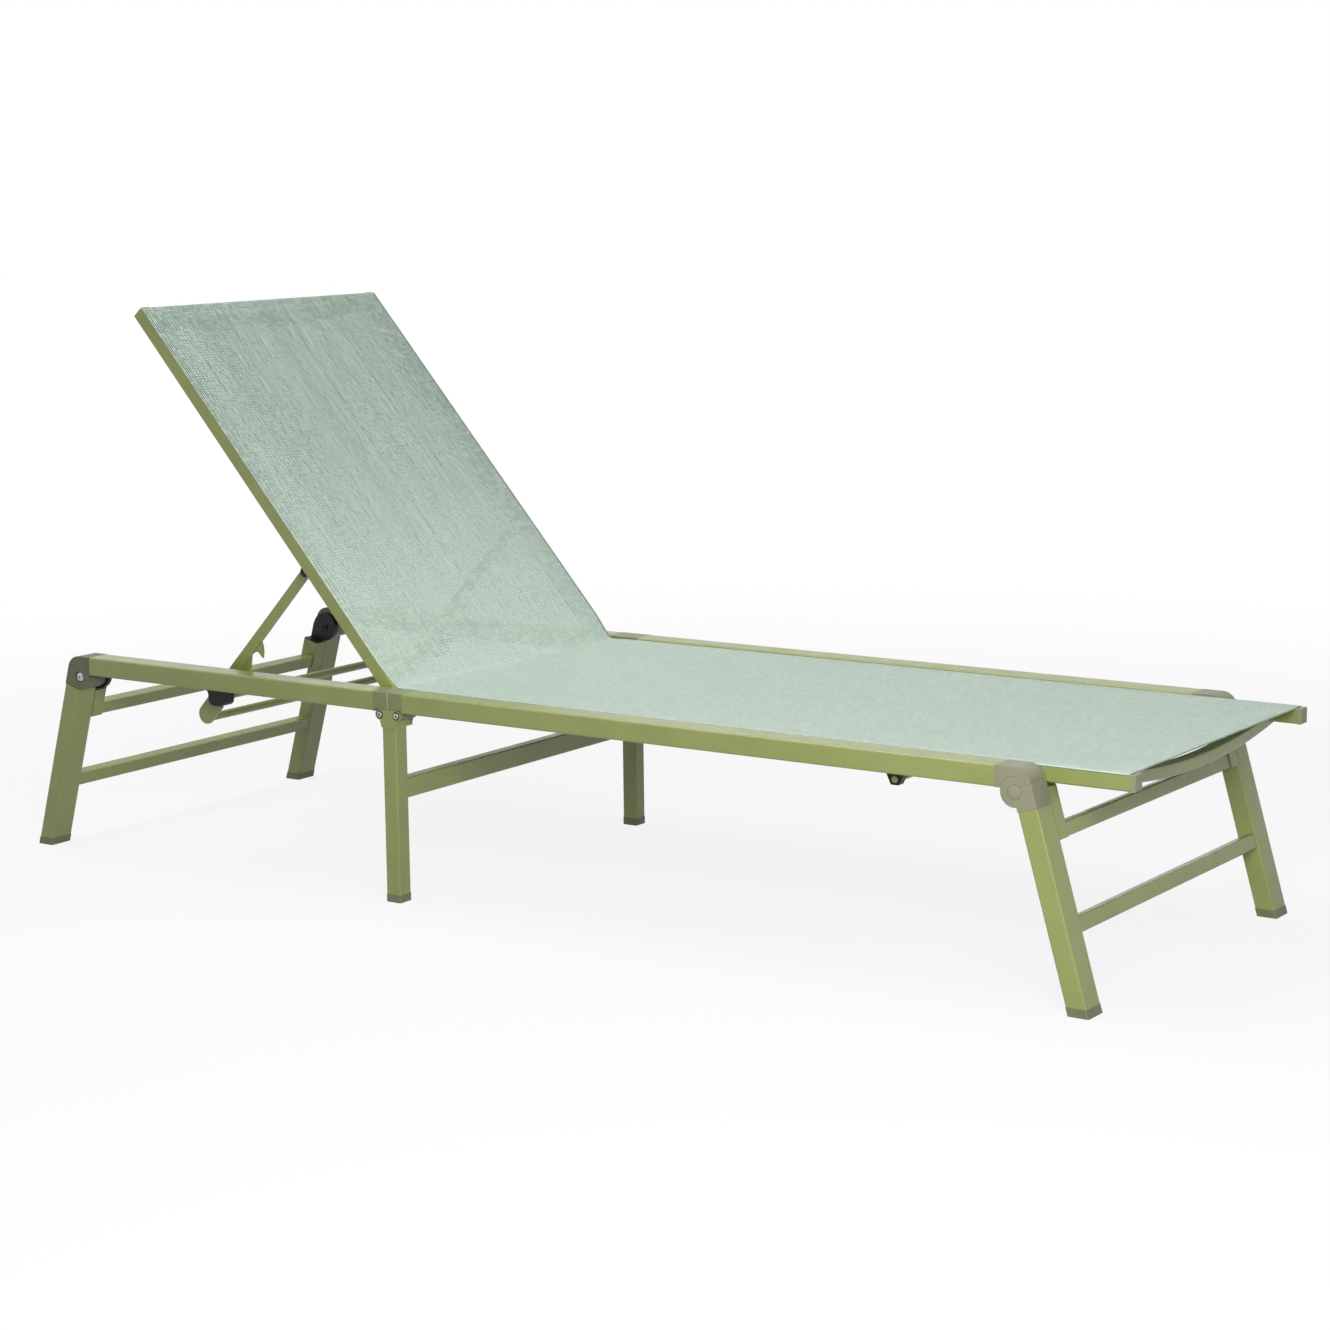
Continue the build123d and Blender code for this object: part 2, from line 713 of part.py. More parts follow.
def foot_cap(side):
    """The plastic end of an inner rail at the foot end."""
    start = FOOT_END - CAP_T
    with BuildPart() as cap:
        with BuildSketch(side_plane(side, INNER_IN, INNER_W)):
            face_of(quad(at, start, FOOT_END, INNER_BOTTOM, INNER_TOP))
        extrude(amount=INNER_W)
        fillet(cap.faces().sort_by(Axis.X)[-1].edges(), EDGE_R)
        with BuildSketch(side_plane(side, INNER_IN + PLUG_INSET, INNER_W - 2 * PLUG_INSET)):
            low, high = INNER_BOTTOM + PLUG_INSET, INNER_TOP - PLUG_INSET
            face_of(quad(at, start - PLUG_LEN, start, low, high))
        extrude(amount=INNER_W - 2 * PLUG_INSET)
    return cap.part


def back_hinge_plate(side):
    """The plate on a seat rail that carries the backrest's pivot."""
    pivot = back_point(0, 0)
    radius = INNER_H / 2 - EDGE_R
    plate_in = INNER_IN - HINGE_PLATE_T
    with BuildPart() as plate:
        with BuildSketch(side_plane(side, plate_in, HINGE_PLATE_T)):
            disc(pivot, radius)
            end = BACK_PIVOT_X + HINGE_PLATE_REACH
            face_of(quad(at, BACK_PIVOT_X, end, INNER_MID - radius, INNER_MID + radius))
        extrude(amount=HINGE_PLATE_T)
        with BuildSketch(side_plane(side, plate_in, HINGE_PLATE_T + INNER_W)):
            disc(pivot, BACK_PIN_R)
        extrude(amount=HINGE_PLATE_T + INNER_W)
    return plate.part


def back_rail(side):
    """A side rail of the backrest, solid and rounded at its pivot."""
    half = INNER_H / 2
    rail_in, rail_w = INNER_IN + GAP, INNER_W - GAP
    outline = quad(back_point, 0, BACK_LEN, -half, half)
    core = quad(back_point, BACK_LUG_LEN, BACK_LEN - WALL, WALL - half, half - WALL)
    shell = side_tube(side, rail_in, rail_w, outline, core)
    with BuildPart() as rail:
        add(shell)
        with BuildSketch(side_plane(side, rail_in, rail_w)):
            disc(back_point(0, 0), half)
        extrude(amount=rail_w)
        with BuildSketch(side_plane(side, rail_in, rail_w)):
            disc(back_point(0, 0), BACK_PIN_R + FIT)
        extrude(amount=rail_w, mode=Mode.SUBTRACT)
    return rail.part


# Prop
def prop_pivot():
    """The prop's hinge behind the back rail."""
    return back_point(PROP_PIVOT_ALONG, PROP_PIVOT_BEHIND)


def ratchet_rod_centre():
    """The fixed rod that the prop's notches sit on."""
    return at(RATCHET_ROD_X, RAIL_BOTTOM - RATCHET_ROD_DROP)


def shifted(point, offset):
    """A side view's point moved by an offset."""
    return (point[0] + offset[0], point[1] + offset[1])


def prop_point(along, right):
    """A point of the prop's side view, down its arm and to the arm's +X side."""
    return shifted(prop_pivot(), (-along * COS_P + right * SIN_P, -along * SIN_P - right * COS_P))


def notch_centres():
    """The rod's place in each notch, the highest notch first and the one in use last."""
    step = (NOTCH_PITCH * COS_P, NOTCH_PITCH * SIN_P)
    lowest = ratchet_rod_centre()
    return [shifted(lowest, (n * step[0], n * step[1])) for n in reversed(range(NOTCHES))]


def prop_along(point):
    """How far down the prop's arm a point of the side view lies."""
    pivot = prop_pivot()
    return (pivot[0] - point[0]) * COS_P + (pivot[1] - point[1]) * SIN_P


def prop_outline():
    """The arm and its hooked plate, clockwise from the arm's head."""
    half = ARM_W / 2
    centres = notch_centres()
    points = [prop_point(0, half), shifted(centres[0], NOSE_BASE), shifted(centres[0], NOSE_SIDE)]
    for centre in centres:
        for offset in (NOSE_OUTER, NOSE_TIP, NOSE_INNER, NOTCH_SHOULDER, WALL_TOP, WALL_FOOT):
            points.append(shifted(centre, offset))
    end = shifted(ratchet_rod_centre(), END_OFFSET)
    points.append(shifted(end, (END_R * SIN_P, -END_R * COS_P)))
    points.append(shifted(end, (-END_R * SIN_P, END_R * COS_P)))
    points.append(prop_point(0, -half))
    return points


def prop_arm(side):
    """One arm of the prop: a flat bar on a thinner hooked plate."""
    arm_in = INNER_IN - PROP_PLATE_T - PROP_GAP - ARM_T
    reach = prop_along(ratchet_rod_centre())
    hook_t = ARM_T - HOOK_SET
    with BuildPart() as arm:
        with BuildSketch(side_plane(side, arm_in, hook_t)):
            face_of(prop_outline())
            disc(shifted(ratchet_rod_centre(), END_OFFSET), END_R)
            for centre in notch_centres():
                disc(centre, ROD_R + NOTCH_CLEAR, mode=Mode.SUBTRACT)
        extrude(amount=hook_t)
        with BuildSketch(side_plane(side, arm_in, ARM_T)):
            face_of(quad(prop_point, 0, reach, -ARM_W / 2, ARM_W / 2))
            disc(prop_pivot(), ARM_W / 2)
        extrude(amount=ARM_T)
        with BuildSketch(side_plane(side, arm_in, ARM_T)):
            disc(prop_pivot(), PROP_PIN_R + FIT)
        extrude(amount=ARM_T, mode=Mode.SUBTRACT)
    return arm.part


def prop_bracket(side):
    """The black bracket that hangs an arm of the prop on a back rail."""
    plate_in = INNER_IN + GAP - PROP_PLATE_T
    arm_in = INNER_IN - PROP_PLATE_T - PROP_GAP - ARM_T
    head_in = arm_in - PROP_HEAD_T - GAP
    half = INNER_H / 2
    with BuildPart() as bracket:
        with BuildSketch(side_plane(side, plate_in, PROP_PLATE_T)):
            low, high = PROP_PIVOT_ALONG - ARM_W, PROP_PIVOT_ALONG + ARM_W
            face_of(quad(back_point, low, high, -half + EDGE_R, half))
            disc(prop_pivot(), ARM_W / 2)
            low, high = PROP_PIVOT_ALONG - ARM_W / 2, PROP_PIVOT_ALONG + ARM_W / 2
            face_of(quad(back_point, low, high, 0, PROP_PIVOT_BEHIND))
        extrude(amount=PROP_PLATE_T)
        with BuildSketch(side_plane(side, head_in, plate_in - head_in)):
            disc(prop_pivot(), PROP_PIN_R)
        extrude(amount=plate_in - head_in)
        with BuildSketch(side_plane(side, head_in, PROP_HEAD_T)):
            disc(prop_pivot(), PROP_HEAD_R)
        extrude(amount=PROP_HEAD_T)
    return bracket.part


def prop_rod():
    """The rod that joins the lower ends of the prop's plates."""
    end = shifted(ratchet_rod_centre(), END_OFFSET)
    half = INNER_IN - PROP_PLATE_T - PROP_GAP - ARM_T
    return rod(half, shifted(end, PROP_ROD_OFFSET), PROP_ROD_R)


# Fixed rods and brackets
def mirrored(centre_x, right_half):
    """A closed outline from the points of its right half, top to foot, as half widths and heights."""
    right = [(centre_x + half, height) for half, height in right_half]
    left = [(centre_x - half, height) for half, height in reversed(right_half)]
    return right + left


def ratchet_bracket(side):
    """A black hanger beside a head rail, with a blind bore for the fixed rod's end."""
    centre = ratchet_rod_centre()
    inner = RAIL_IN - HEAD_BRACKET_W
    half_widths = [HEAD_BRACKET_TOP / 2, HEAD_BRACKET_WAIST / 2, HEAD_BRACKET_FOOT / 2]
    foot = centre[1] - ROD_R - HEAD_BRACKET_WALL
    heights = [RAIL_BOTTOM, RAIL_BOTTOM - HEAD_BRACKET_FLARE, foot]
    bore = HEAD_BRACKET_W - HEAD_BRACKET_CAP
    with BuildPart() as bracket:
        with BuildSketch(side_plane(side, inner, HEAD_BRACKET_W)) as profile:
            face_of(mirrored(centre[0], list(zip(half_widths, heights))))
            fillet(profile.vertices().group_by(Axis.Y)[0], HEAD_BRACKET_R)
        extrude(amount=HEAD_BRACKET_W)
        with BuildSketch(side_plane(side, inner, bore)):
            disc(centre, ROD_R + FIT)
        extrude(amount=bore, mode=Mode.SUBTRACT)
        with BuildSketch(side_plane(side, RAIL_IN - TONGUE_T, TONGUE_T)):
            half = HEAD_BRACKET_TOP / 2 - HEAD_BRACKET_WALL
            face_of(mirrored(centre[0], [(half, RAIL_BOTTOM + TONGUE_H), (half, RAIL_BOTTOM)]))
        extrude(amount=TONGUE_T)
    return bracket.part


def seat_rod_bracket(side, centre):
    """A small black hanger under a seat rail, with the cross tube's end showing in its bore."""
    foot = centre[1] - SEAT_ROD_R - SEAT_BRACKET_WALL
    foot_half = SEAT_ROD_R + SEAT_BRACKET_WALL / 2
    with BuildPart() as bracket:
        with BuildSketch(side_plane(side, INNER_OUT - SEAT_BRACKET_W, SEAT_BRACKET_W)) as profile:
            face_of(mirrored(centre[0], [(SEAT_BRACKET_TOP / 2, INNER_BOTTOM), (foot_half, foot)]))
            fillet(profile.vertices().group_by(Axis.Y)[0], SEAT_BRACKET_WALL)
            disc(centre, SEAT_ROD_R + FIT, mode=Mode.SUBTRACT)
        extrude(amount=SEAT_BRACKET_W)
    return bracket.part


# Sling
def sling(plane, length):
    """A stretch of the sling: flat over the side rails and sagging a little between them."""
    top, under = -SLING_GAP - SLING_T, -SLING_GAP
    with BuildPart() as cloth:
        with BuildSketch(plane):
            with BuildLine():
                upper = ThreePointArc((-INNER_IN, top), (0, top + SLING_SAG), (INNER_IN, top))
                lower = ThreePointArc((INNER_IN, under), (0, under + SLING_SAG), (-INNER_IN, under))
                Polyline(upper @ 1, (INNER_OUT, top), (INNER_OUT, under), lower @ 0)
                Polyline(lower @ 1, (-INNER_OUT, under), (-INNER_OUT, top), upper @ 0)
            make_face()
        extrude(amount=length)
    return cloth.part


def frame_plane(point, direction):
    """A plane across the frame: its x is +Y, and its y points away from the sling's face."""
    return Plane(origin=(point[0], 0, point[1]), x_dir=(0, 1, 0), z_dir=direction)


def build_seat_frame():
    """The fixed half of the frame, from the middle hinge to the foot end."""
    rod_at = at(SEAT_LEN - SEAT_ROD_BACK, RAIL_BOTTOM - SEAT_ROD_DROP)
    for name, side in SIDES.items():
        save(f"seat_outer_rail_{name}", outer_rail(side, MID_BLOCK_LEN, SEAT_LEN - HUB_FITTING))
        save(f"seat_inner_rail_{name}", seat_inner_rail(side))
        save(f"foot_cap_{name}", foot_cap(side))
        save(f"seat_hinge_block_{name}", hinge_block(side, 1))
        save(f"front_hub_rail_{name}", hub_rail(side))
        save(f"back_hinge_plate_{name}", back_hinge_plate(side))
        save(f"seat_rod_bracket_{name}", seat_rod_bracket(side, rod_at))
    save("seat_rod", rod(INNER_OUT + SLING_T, rod_at, SEAT_ROD_R))
    bar = frame_plane(at(SEAT_LEN + FOOT_BAR_REACH + BAR_DEPTH, INNER_TOP), (-1, 0, 0))
    save("foot_crossbar", bowed_bar(bar, FOOT_BAR_H))
    start, end = SEAT_SLING_SET - INNER_START, FOOT_END - CAP_T - SLING_END_SET
    save("seat_sling", sling(frame_plane(at(end, INNER_TOP), (-1, 0, 0)), end - start))


def build_head_frame():
    """The folding half of the frame, from the middle hinge to the head end."""
    for name, side in SIDES.items():
        save(f"head_rail_{name}", outer_rail(side, REAR_FITTING - HEAD_LEN, -MID_BLOCK_LEN))
        save(f"head_hinge_block_{name}", hinge_block(side, -1))
        save(f"rear_corner_{name}", rear_corner(side))
        save(f"ratchet_bracket_{name}", ratchet_bracket(side))
    half = RAIL_IN - HEAD_BRACKET_CAP - GAP
    save("ratchet_rod", rod(half, ratchet_rod_centre(), ROD_R))


def build_backrest():
    """The backrest's frame and its stretch of the sling."""
    rail_way = (-COS_B, 0, SIN_B)
    face = -INNER_H / 2
    for name, side in SIDES.items():
        save(f"back_rail_{name}", back_rail(side))
        save(f"prop_bracket_{name}", prop_bracket(side))
    bar_start = BACK_LEN - TOP_BAR_SET - BAR_DEPTH
    save("back_top_bar", bowed_bar(frame_plane(back_point(bar_start, face), rail_way), INNER_H))
    length = BACK_LEN - SLING_END_SET - BACK_SLING_START
    save("back_sling", sling(frame_plane(back_point(BACK_SLING_START, face), rail_way), length))


def build_prop():
    """The prop that holds the backrest up."""
    for name, side in SIDES.items():
        save(f"prop_arm_{name}", prop_arm(side))
    save("prop_rod", prop_rod())


def build_mid_legs():
    """The middle leg frame."""
    for name, side in SIDES.items():
        save(f"mid_leg_{name}", mid_leg(side))
        save(f"mid_leg_head_{name}", mid_leg_head(side))
        save(f"mid_foot_{name}", mid_foot(side))
    save("mid_crossbar", mid_crossbar())


def build_end_legs(label, end, cut, stub_top):
    """The legs, feet and crossbars of one end."""
    for name, side in SIDES.items():
        save(f"{label}_leg_{name}", end_leg(side, end, cut, stub_top))
        save(f"{label}_foot_{name}", end_foot(side, end))
    save(f"{label}_upper_bar", leg_bar(end, UPPER_BAR_ALONG, UPPER_BAR_H, STUB_IN))
    save(f"{label}_lower_bar", leg_bar(end, LOWER_BAR_ALONG, LOWER_BAR_H, RAIL_IN))


def build_hinge_pieces():
    """The moving halves of the end hinges."""
    for name, side in SIDES.items():
        save(f"rear_ear_{name}", rear_ear(side))
        save(f"front_hub_leg_{name}", hub_leg(side))
        save(f"front_pad_{name}", front_pad(side))


os.makedirs("parts", exist_ok=True)
build_seat_frame()
build_head_frame()
build_backrest()
build_prop()
build_mid_legs()
build_end_legs("rear", -1, REAR_CUT, rear_stub_top)
build_end_legs("front", 1, HUB_SEAM, front_stub_top)
build_hinge_pieces()
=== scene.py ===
"""A folding sun lounger with a mint mesh sling, dressed over its own frame.

Lengths are in metres. X runs to the foot end, Y to the far side and Z up from the ground.
"""

import json
import logging
import math
from dataclasses import dataclass
from enum import Enum
from typing import Mapping, Sequence

import bmesh
import bpy
from mathutils import Euler, Matrix, Vector


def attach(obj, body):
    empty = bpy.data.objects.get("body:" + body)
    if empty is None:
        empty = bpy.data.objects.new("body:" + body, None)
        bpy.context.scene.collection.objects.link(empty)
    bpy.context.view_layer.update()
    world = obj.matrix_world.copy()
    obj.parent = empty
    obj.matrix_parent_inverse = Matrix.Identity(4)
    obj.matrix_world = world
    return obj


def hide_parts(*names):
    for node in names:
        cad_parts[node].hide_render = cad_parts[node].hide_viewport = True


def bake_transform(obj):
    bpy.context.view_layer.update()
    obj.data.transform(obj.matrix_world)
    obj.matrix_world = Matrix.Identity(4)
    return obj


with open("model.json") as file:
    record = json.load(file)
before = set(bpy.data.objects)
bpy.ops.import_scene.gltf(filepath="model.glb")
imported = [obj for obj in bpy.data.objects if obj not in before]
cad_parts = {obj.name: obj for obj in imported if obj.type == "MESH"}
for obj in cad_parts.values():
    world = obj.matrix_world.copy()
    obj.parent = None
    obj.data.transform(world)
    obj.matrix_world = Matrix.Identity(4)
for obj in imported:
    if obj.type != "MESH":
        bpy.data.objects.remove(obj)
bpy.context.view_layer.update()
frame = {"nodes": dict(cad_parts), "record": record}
PIVOTS = {joint["name"]: Vector(joint["pos_m"]) for joint in frame["record"]["behaviour"]["joints"]}
BACK_ANGLE = math.radians(48.6)
OUTER_FACE = 0.330
SMOOTH_UNDER = math.radians(35)

logging.basicConfig(level=logging.INFO, format="%(message)s")
log = logging.getLogger("lounger")

Colour = tuple[float, float, float, float]


class Side(Enum):
    """The lounger's two sides, seen along its length."""

    NEAR = -1
    FAR = 1


class Slot(Enum):
    """The record's material slots."""

    PAINT = "frame_paint"
    PLASTIC = "hinge_plastic"
    BLACK = "black_plastic"
    SLING = "sling"


def linear(code: str) -> Colour:
    """Turn a display colour into a linear one.

    Args:
        code: six hexadecimal digits.

    Returns:
        Red, green, blue and an alpha of one.
    """
    parts = [int(code[i : i + 2], 16) / 255 for i in (0, 2, 4)]
    red, green, blue = [p / 12.92 if p <= 0.04045 else ((p + 0.055) / 1.055) ** 2.4 for p in parts]
    return red, green, blue, 1.0


class Wire:
    """A shader socket that takes part in Python arithmetic."""

    def __init__(self, bench: "Bench", socket: bpy.types.NodeSocket) -> None:
        """Keep the bench that makes new nodes and the socket that the value comes from."""
        self.bench = bench
        self.socket = socket

    def maths(self, operation: str, *values: "Wire | float") -> "Wire":
        """Add a Math node.

        Args:
            operation: the node's operation.
            values: its inputs in order.

        Returns:
            The node's result.
        """
        return self.bench.node("ShaderNodeMath", {"operation": operation}, dict(enumerate(values)))

    def __add__(self, other: "Wire | float") -> "Wire":
        """Add."""
        return self.maths("ADD", self, other)

    def __radd__(self, other: float) -> "Wire":
        """Add to a number."""
        return self.maths("ADD", other, self)

    def __sub__(self, other: "Wire | float") -> "Wire":
        """Subtract."""
        return self.maths("SUBTRACT", self, other)

    def __rsub__(self, other: float) -> "Wire":
        """Subtract from a number."""
        return self.maths("SUBTRACT", other, self)

    def __mul__(self, other: "Wire | float") -> "Wire":
        """Multiply."""
        return self.maths("MULTIPLY", self, other)

    def __rmul__(self, other: float) -> "Wire":
        """Multiply a number."""
        return self.maths("MULTIPLY", other, self)

    def __truediv__(self, other: "Wire | float") -> "Wire":
        """Divide."""
        return self.maths("DIVIDE", self, other)

    def __rtruediv__(self, other: float) -> "Wire":
        """Divide a number."""
        return self.maths("DIVIDE", other, self)

    def __abs__(self) -> "Wire":
        """Drop the sign."""
        return self.maths("ABSOLUTE", self)

    def floor(self) -> "Wire":
        """Round down."""
        return self.maths("FLOOR", self)

    def sine(self) -> "Wire":
        """Take the sine of an angle in radians."""
        return self.maths("SINE", self)

    def larger(self, other: "Wire | float") -> "Wire":
        """Give the larger of this value and another."""
        return self.maths("MAXIMUM", self, other)

    def over(self, level: float) -> "Wire":
        """Give one where the value is above a level, and zero elsewhere."""
        return self.maths("GREATER_THAN", self, level)

    def fade(self, low: float, high: float, start: float = 0.0, end: float = 1.0) -> "Wire":
        """Carry the value smoothly from one range to another.

        Args:
            low: the value that gives start.
            high: the value that gives end.
            start: the result at and below low.
            end: the result at and above high.

        Returns:
            The eased result.
        """
        values = {0: self, 1: low, 2: high, 3: start, 4: end}
        return self.bench.node("ShaderNodeMapRange", {"interpolation_type": "SMOOTHSTEP"}, values)


class Bench:
    """The node tree of one material, built by calls."""

    def __init__(self, name: str) -> None:
        """Start an empty material of this name."""
        self.material = bpy.data.materials.new(name)
        self.material.use_nodes = True
        self.tree = self.material.node_tree
        self.tree.nodes.clear()

    def node(
        self,
        kind: str,
        settings: Mapping[str, object] | None = None,
        values: Mapping[int | str, object] | None = None,
        output: int | str = 0,
    ) -> Wire:
        """Add one node of any type.

        Args:
            kind: the node's type.
            settings: its own settings, where stops holds a ramp's positions and colours.
            values: numbers, colours or wires for its inputs.
            output: the output to give back.

        Returns:
            The chosen output.
        """
        made = self.tree.nodes.new(kind)
        for key, value in (settings or {}).items():
            if key == "stops":
                elements = made.color_ramp.elements
                while len(elements) < len(value):
                    elements.new(0.5)
                for element, (position, colour) in zip(elements, value):
                    element.position, element.color = position, colour
            else:
                setattr(made, key, value)
        for key, value in (values or {}).items():
            if isinstance(value, Wire):
                self.tree.links.new(value.socket, made.inputs[key])
            else:
                made.inputs[key].default_value = value
        return Wire(self, made.outputs[output])

    def place(self) -> Wire:
        """Give the object coordinates."""
        return self.node("ShaderNodeTexCoord", output="Object")

    def noise(self, size: float, detail: float = 2.0, where: Wire | None = None) -> Wire:
        """Give a noise value.

        Args:
            size: the width of its blotches in metres.
            detail: how many finer layers it has.
            where: the coordinates, or none for the object's own.

        Returns:
            A value from zero to one.
        """
        values = {"Vector": where or self.place(), "Scale": 1 / size, "Detail": detail}
        return self.node("ShaderNodeTexNoise", {}, values)

    def mix(self, share: Wire | float, first: object, second: object, blend: str = "MIX") -> Wire:
        """Mix two colours.

        Args:
            share: how much of the second colour.
            first: a colour or a wire.
            second: a colour or a wire.
            blend: the blending mode.

        Returns:
            The mixed colour.
        """
        settings = {"data_type": "RGBA", "blend_type": blend}
        return self.node("ShaderNodeMix", settings, {0: share, 6: first, 7: second}, 2)

    def relief(self, height: Wire, depth: float, strength: float) -> Wire:
        """Give a normal from a height.

        Args:
            height: the height from zero to one.
            depth: the height of one in metres.
            strength: how strongly it bends the light.

        Returns:
            The normal.
        """
        return self.node("ShaderNodeBump", {}, {"Height": height, "Distance": depth, "Strength": strength})

    def shade(self, **sockets: object) -> bpy.types.Material:
        """End the tree in a Principled shader.

        Args:
            sockets: values for its sockets, with underscores for spaces.

        Returns:
            The finished material.
        """
        values = {key.replace("_", " "): value for key, value in sockets.items()}
        surface = self.node("ShaderNodeBsdfPrincipled", {}, values)
        self.node_output(surface)
        return self.material

    def node_output(self, surface: Wire) -> None:
        """Send a shader to the material's surface."""
        output = self.tree.nodes.new("ShaderNodeOutputMaterial")
        self.tree.links.new(surface.socket, output.inputs["Surface"])


@dataclass(frozen=True)
class PowderCoat:
    """Satin powder coat with a fine orange-peel skin."""

    name: str
    colour: str
    deep: str
    speck_colour: str = "dadcc8"
    speck_share: float = 0.10
    cloud: float = 0.09
    peel: float = 0.0016
    peel_depth: float = 0.00012
    speck: float = 0.0007
    wear: float = 0.03
    roughness: float = 0.31

    def make(self) -> bpy.types.Material:
        """Give the finished material."""
        bench = Bench(self.name)
        cloudy = bench.noise(self.cloud, 3.0).fade(0.35, 0.65)
        peel = bench.noise(self.peel, 1.0)
        speck = bench.noise(self.speck, 0.0).fade(0.66, 0.74)
        worn = bench.noise(self.wear, 2.0)
        base = bench.mix(cloudy, linear(self.deep), linear(self.colour))
        tinted = bench.mix(speck * self.speck_share, base, linear(self.speck_colour))
        return bench.shade(
            Base_Color=tinted,
            Roughness=worn.fade(0.3, 0.7, self.roughness - 0.04, self.roughness + 0.05),
            Normal=bench.relief(peel, self.peel_depth, 0.35),
            Metallic=0.0,
            Specular_IOR_Level=0.65,
            Coat_Weight=0.1,
            Coat_Roughness=0.22,
        )


@dataclass(frozen=True)
class Moulded:
    """Moulded nylon with a fine spark-eroded grain."""

    name: str
    colour: str
    deep: str
    roughness: float = 0.46
    grain: float = 0.0009
    sheen: float = 0.5
    grain_depth: float = 0.00008
    cloud: float = 0.05
    flow: float = 0.012
    flow_share: float = 0.12

    def make(self) -> bpy.types.Material:
        """Give the finished material."""
        bench = Bench(self.name)
        cloudy = bench.noise(self.cloud, 2.0).fade(0.35, 0.65)
        grain = bench.noise(self.grain, 2.0)
        flow = bench.noise(self.flow, 4.0).fade(0.45, 0.75)
        base = bench.mix(cloudy, linear(self.deep), linear(self.colour))
        return bench.shade(
            Base_Color=bench.mix(flow * self.flow_share, base, linear(self.deep)),
            Roughness=grain.fade(0.3, 0.7, self.roughness - 0.06, self.roughness + 0.08),
            Normal=bench.relief(grain, self.grain_depth, 0.4),
            Specular_IOR_Level=self.sheen,
        )


@dataclass(frozen=True)
class Plated:
    """Zinc-plated or stainless steel with fine turning marks."""

    name: str
    colour: str
    deep: str = "8d9189"
    roughness: float = 0.28
    spread: float = 0.004
    turning: float = 0.0004
    turning_depth: float = 0.00003

    def make(self) -> bpy.types.Material:
        """Give the finished material."""
        bench = Bench(self.name)
        spread = bench.noise(self.spread, 3.0)
        turned = bench.noise(self.turning, 1.0)
        return bench.shade(
            Base_Color=bench.mix(spread.fade(0.3, 0.7), linear(self.deep), linear(self.colour)),
            Roughness=spread.fade(0.3, 0.7, self.roughness - 0.06, self.roughness + 0.12),
            Normal=bench.relief(turned, self.turning_depth, 0.4),
            Metallic=1.0,
        )


@dataclass(frozen=True)
class MeshCloth:
    """Coated mesh: pairs of lengthwise threads, crossed by wefts with small holes between them.

    The gaps between the threads are painted dark as shade. This painted shade, with the threads' random dark
    tone, grows from the fold to the top of the back, so the back is painted darker than the seat.
    """

    name: str
    light: str = "d8ebdd"
    # Colour of the painted shade in the gaps between threads, also used for the random dark tone of threads
    # and flecks.
    dark: str = "34503f"
    pair: float = 0.0078
    weft: float = 0.0052
    open_across: float = 0.30
    open_along: float = 0.62
    # Painted shade: its strength on the seat, and how it grows from the fold to the top of the back.
    fold: float = 1.20
    top: float = 1.95
    seat_shade: float = 0.36
    back_shade: float = 1.10
    gap_shade_share: float = 1.05
    thread_share: float = 0.14
    fleck_share: float = 0.30
    warm: str = "dcd6b4"
    warm_share: float = 0.16
    pale: str = "b9cfc2"
    pale_share: float = 0.08
    patch: float = 0.30
    relief: float = 0.0005
    soft: float = 0.06
    warm_over: float = 0.93
    closed_over: float = 0.70

    def make(self) -> bpy.types.Material:
        """Give the finished material, woven on the sheet's own Cut map."""
        bench = Bench(self.name)
        cut = bench.node("ShaderNodeUVMap", {"uv_map": "Cut"})
        length = bench.node("ShaderNodeSeparateXYZ", {}, {0: cut}, 1)
        across = bench.node("ShaderNodeSeparateXYZ", {}, {0: cut}, 0) / self.pair
        along = length / self.weft
        thread = (across * 2).floor()
        gap = abs((across * math.pi).sine())
        pick = abs((along * math.pi).sine())
        ridge = abs((across * math.tau).sine()) * gap.fade(self.open_across * 0.6, self.open_across * 1.6)
        odd = thread * 0.5 - (thread * 0.5).floor()
        knot = abs(((along + odd) * math.pi).sine())
        warp = ridge * (knot * 0.45 + 0.55)
        fill = pick.fade(self.open_along, 1.0, 0.0, 0.34)
        height = warp.larger(fill)
        each = bench.node("ShaderNodeTexWhiteNoise", {"noise_dimensions": "1D"}, {"W": across.floor()}, 0)
        cell = bench.node("ShaderNodeCombineXYZ", {}, {0: across.floor(), 1: along.floor()})
        fleck = bench.node("ShaderNodeTexWhiteNoise", {"noise_dimensions": "2D"}, {"Vector": cell}, 0)
        # Painted shade: its strength is low on the seat and grows from the fold to the top of the back.
        depth = length.fade(self.fold, self.top, self.seat_shade, self.back_shade)
        # Painted shade: the low gaps between the threads are darkened.
        gap_shade = (1.0 - height.fade(0.12, 0.62)) * self.gap_shade_share
        # The painted gap shade is summed with the random dark tone of single threads and flecks.
        shade = gap_shade + (1.0 - each) * self.thread_share + (1.0 - fleck) * self.fleck_share
        woven = bench.mix(1.0 - shade * depth, linear(self.dark), linear(self.light))
        broad = bench.noise(self.patch, 2.0, cut).fade(0.3, 0.7)
        warm = bench.mix(fleck.over(self.warm_over) * self.warm_share, woven, linear(self.warm))
        base = bench.mix(broad * self.pale_share, warm, linear(self.pale))
        columns = gap.fade(self.open_across - self.soft, self.open_across + self.soft)
        rows = pick.fade(self.open_along - self.soft, self.open_along + self.soft * 2 / 3)
        closed = columns.larger(rows).larger(fleck.over(self.closed_over))
        return bench.shade(
            Base_Color=base,
            Roughness=each.fade(0.0, 1.0, 0.50, 0.62),
            Alpha=closed,
            Normal=bench.relief(height, self.relief, 0.5),
        )


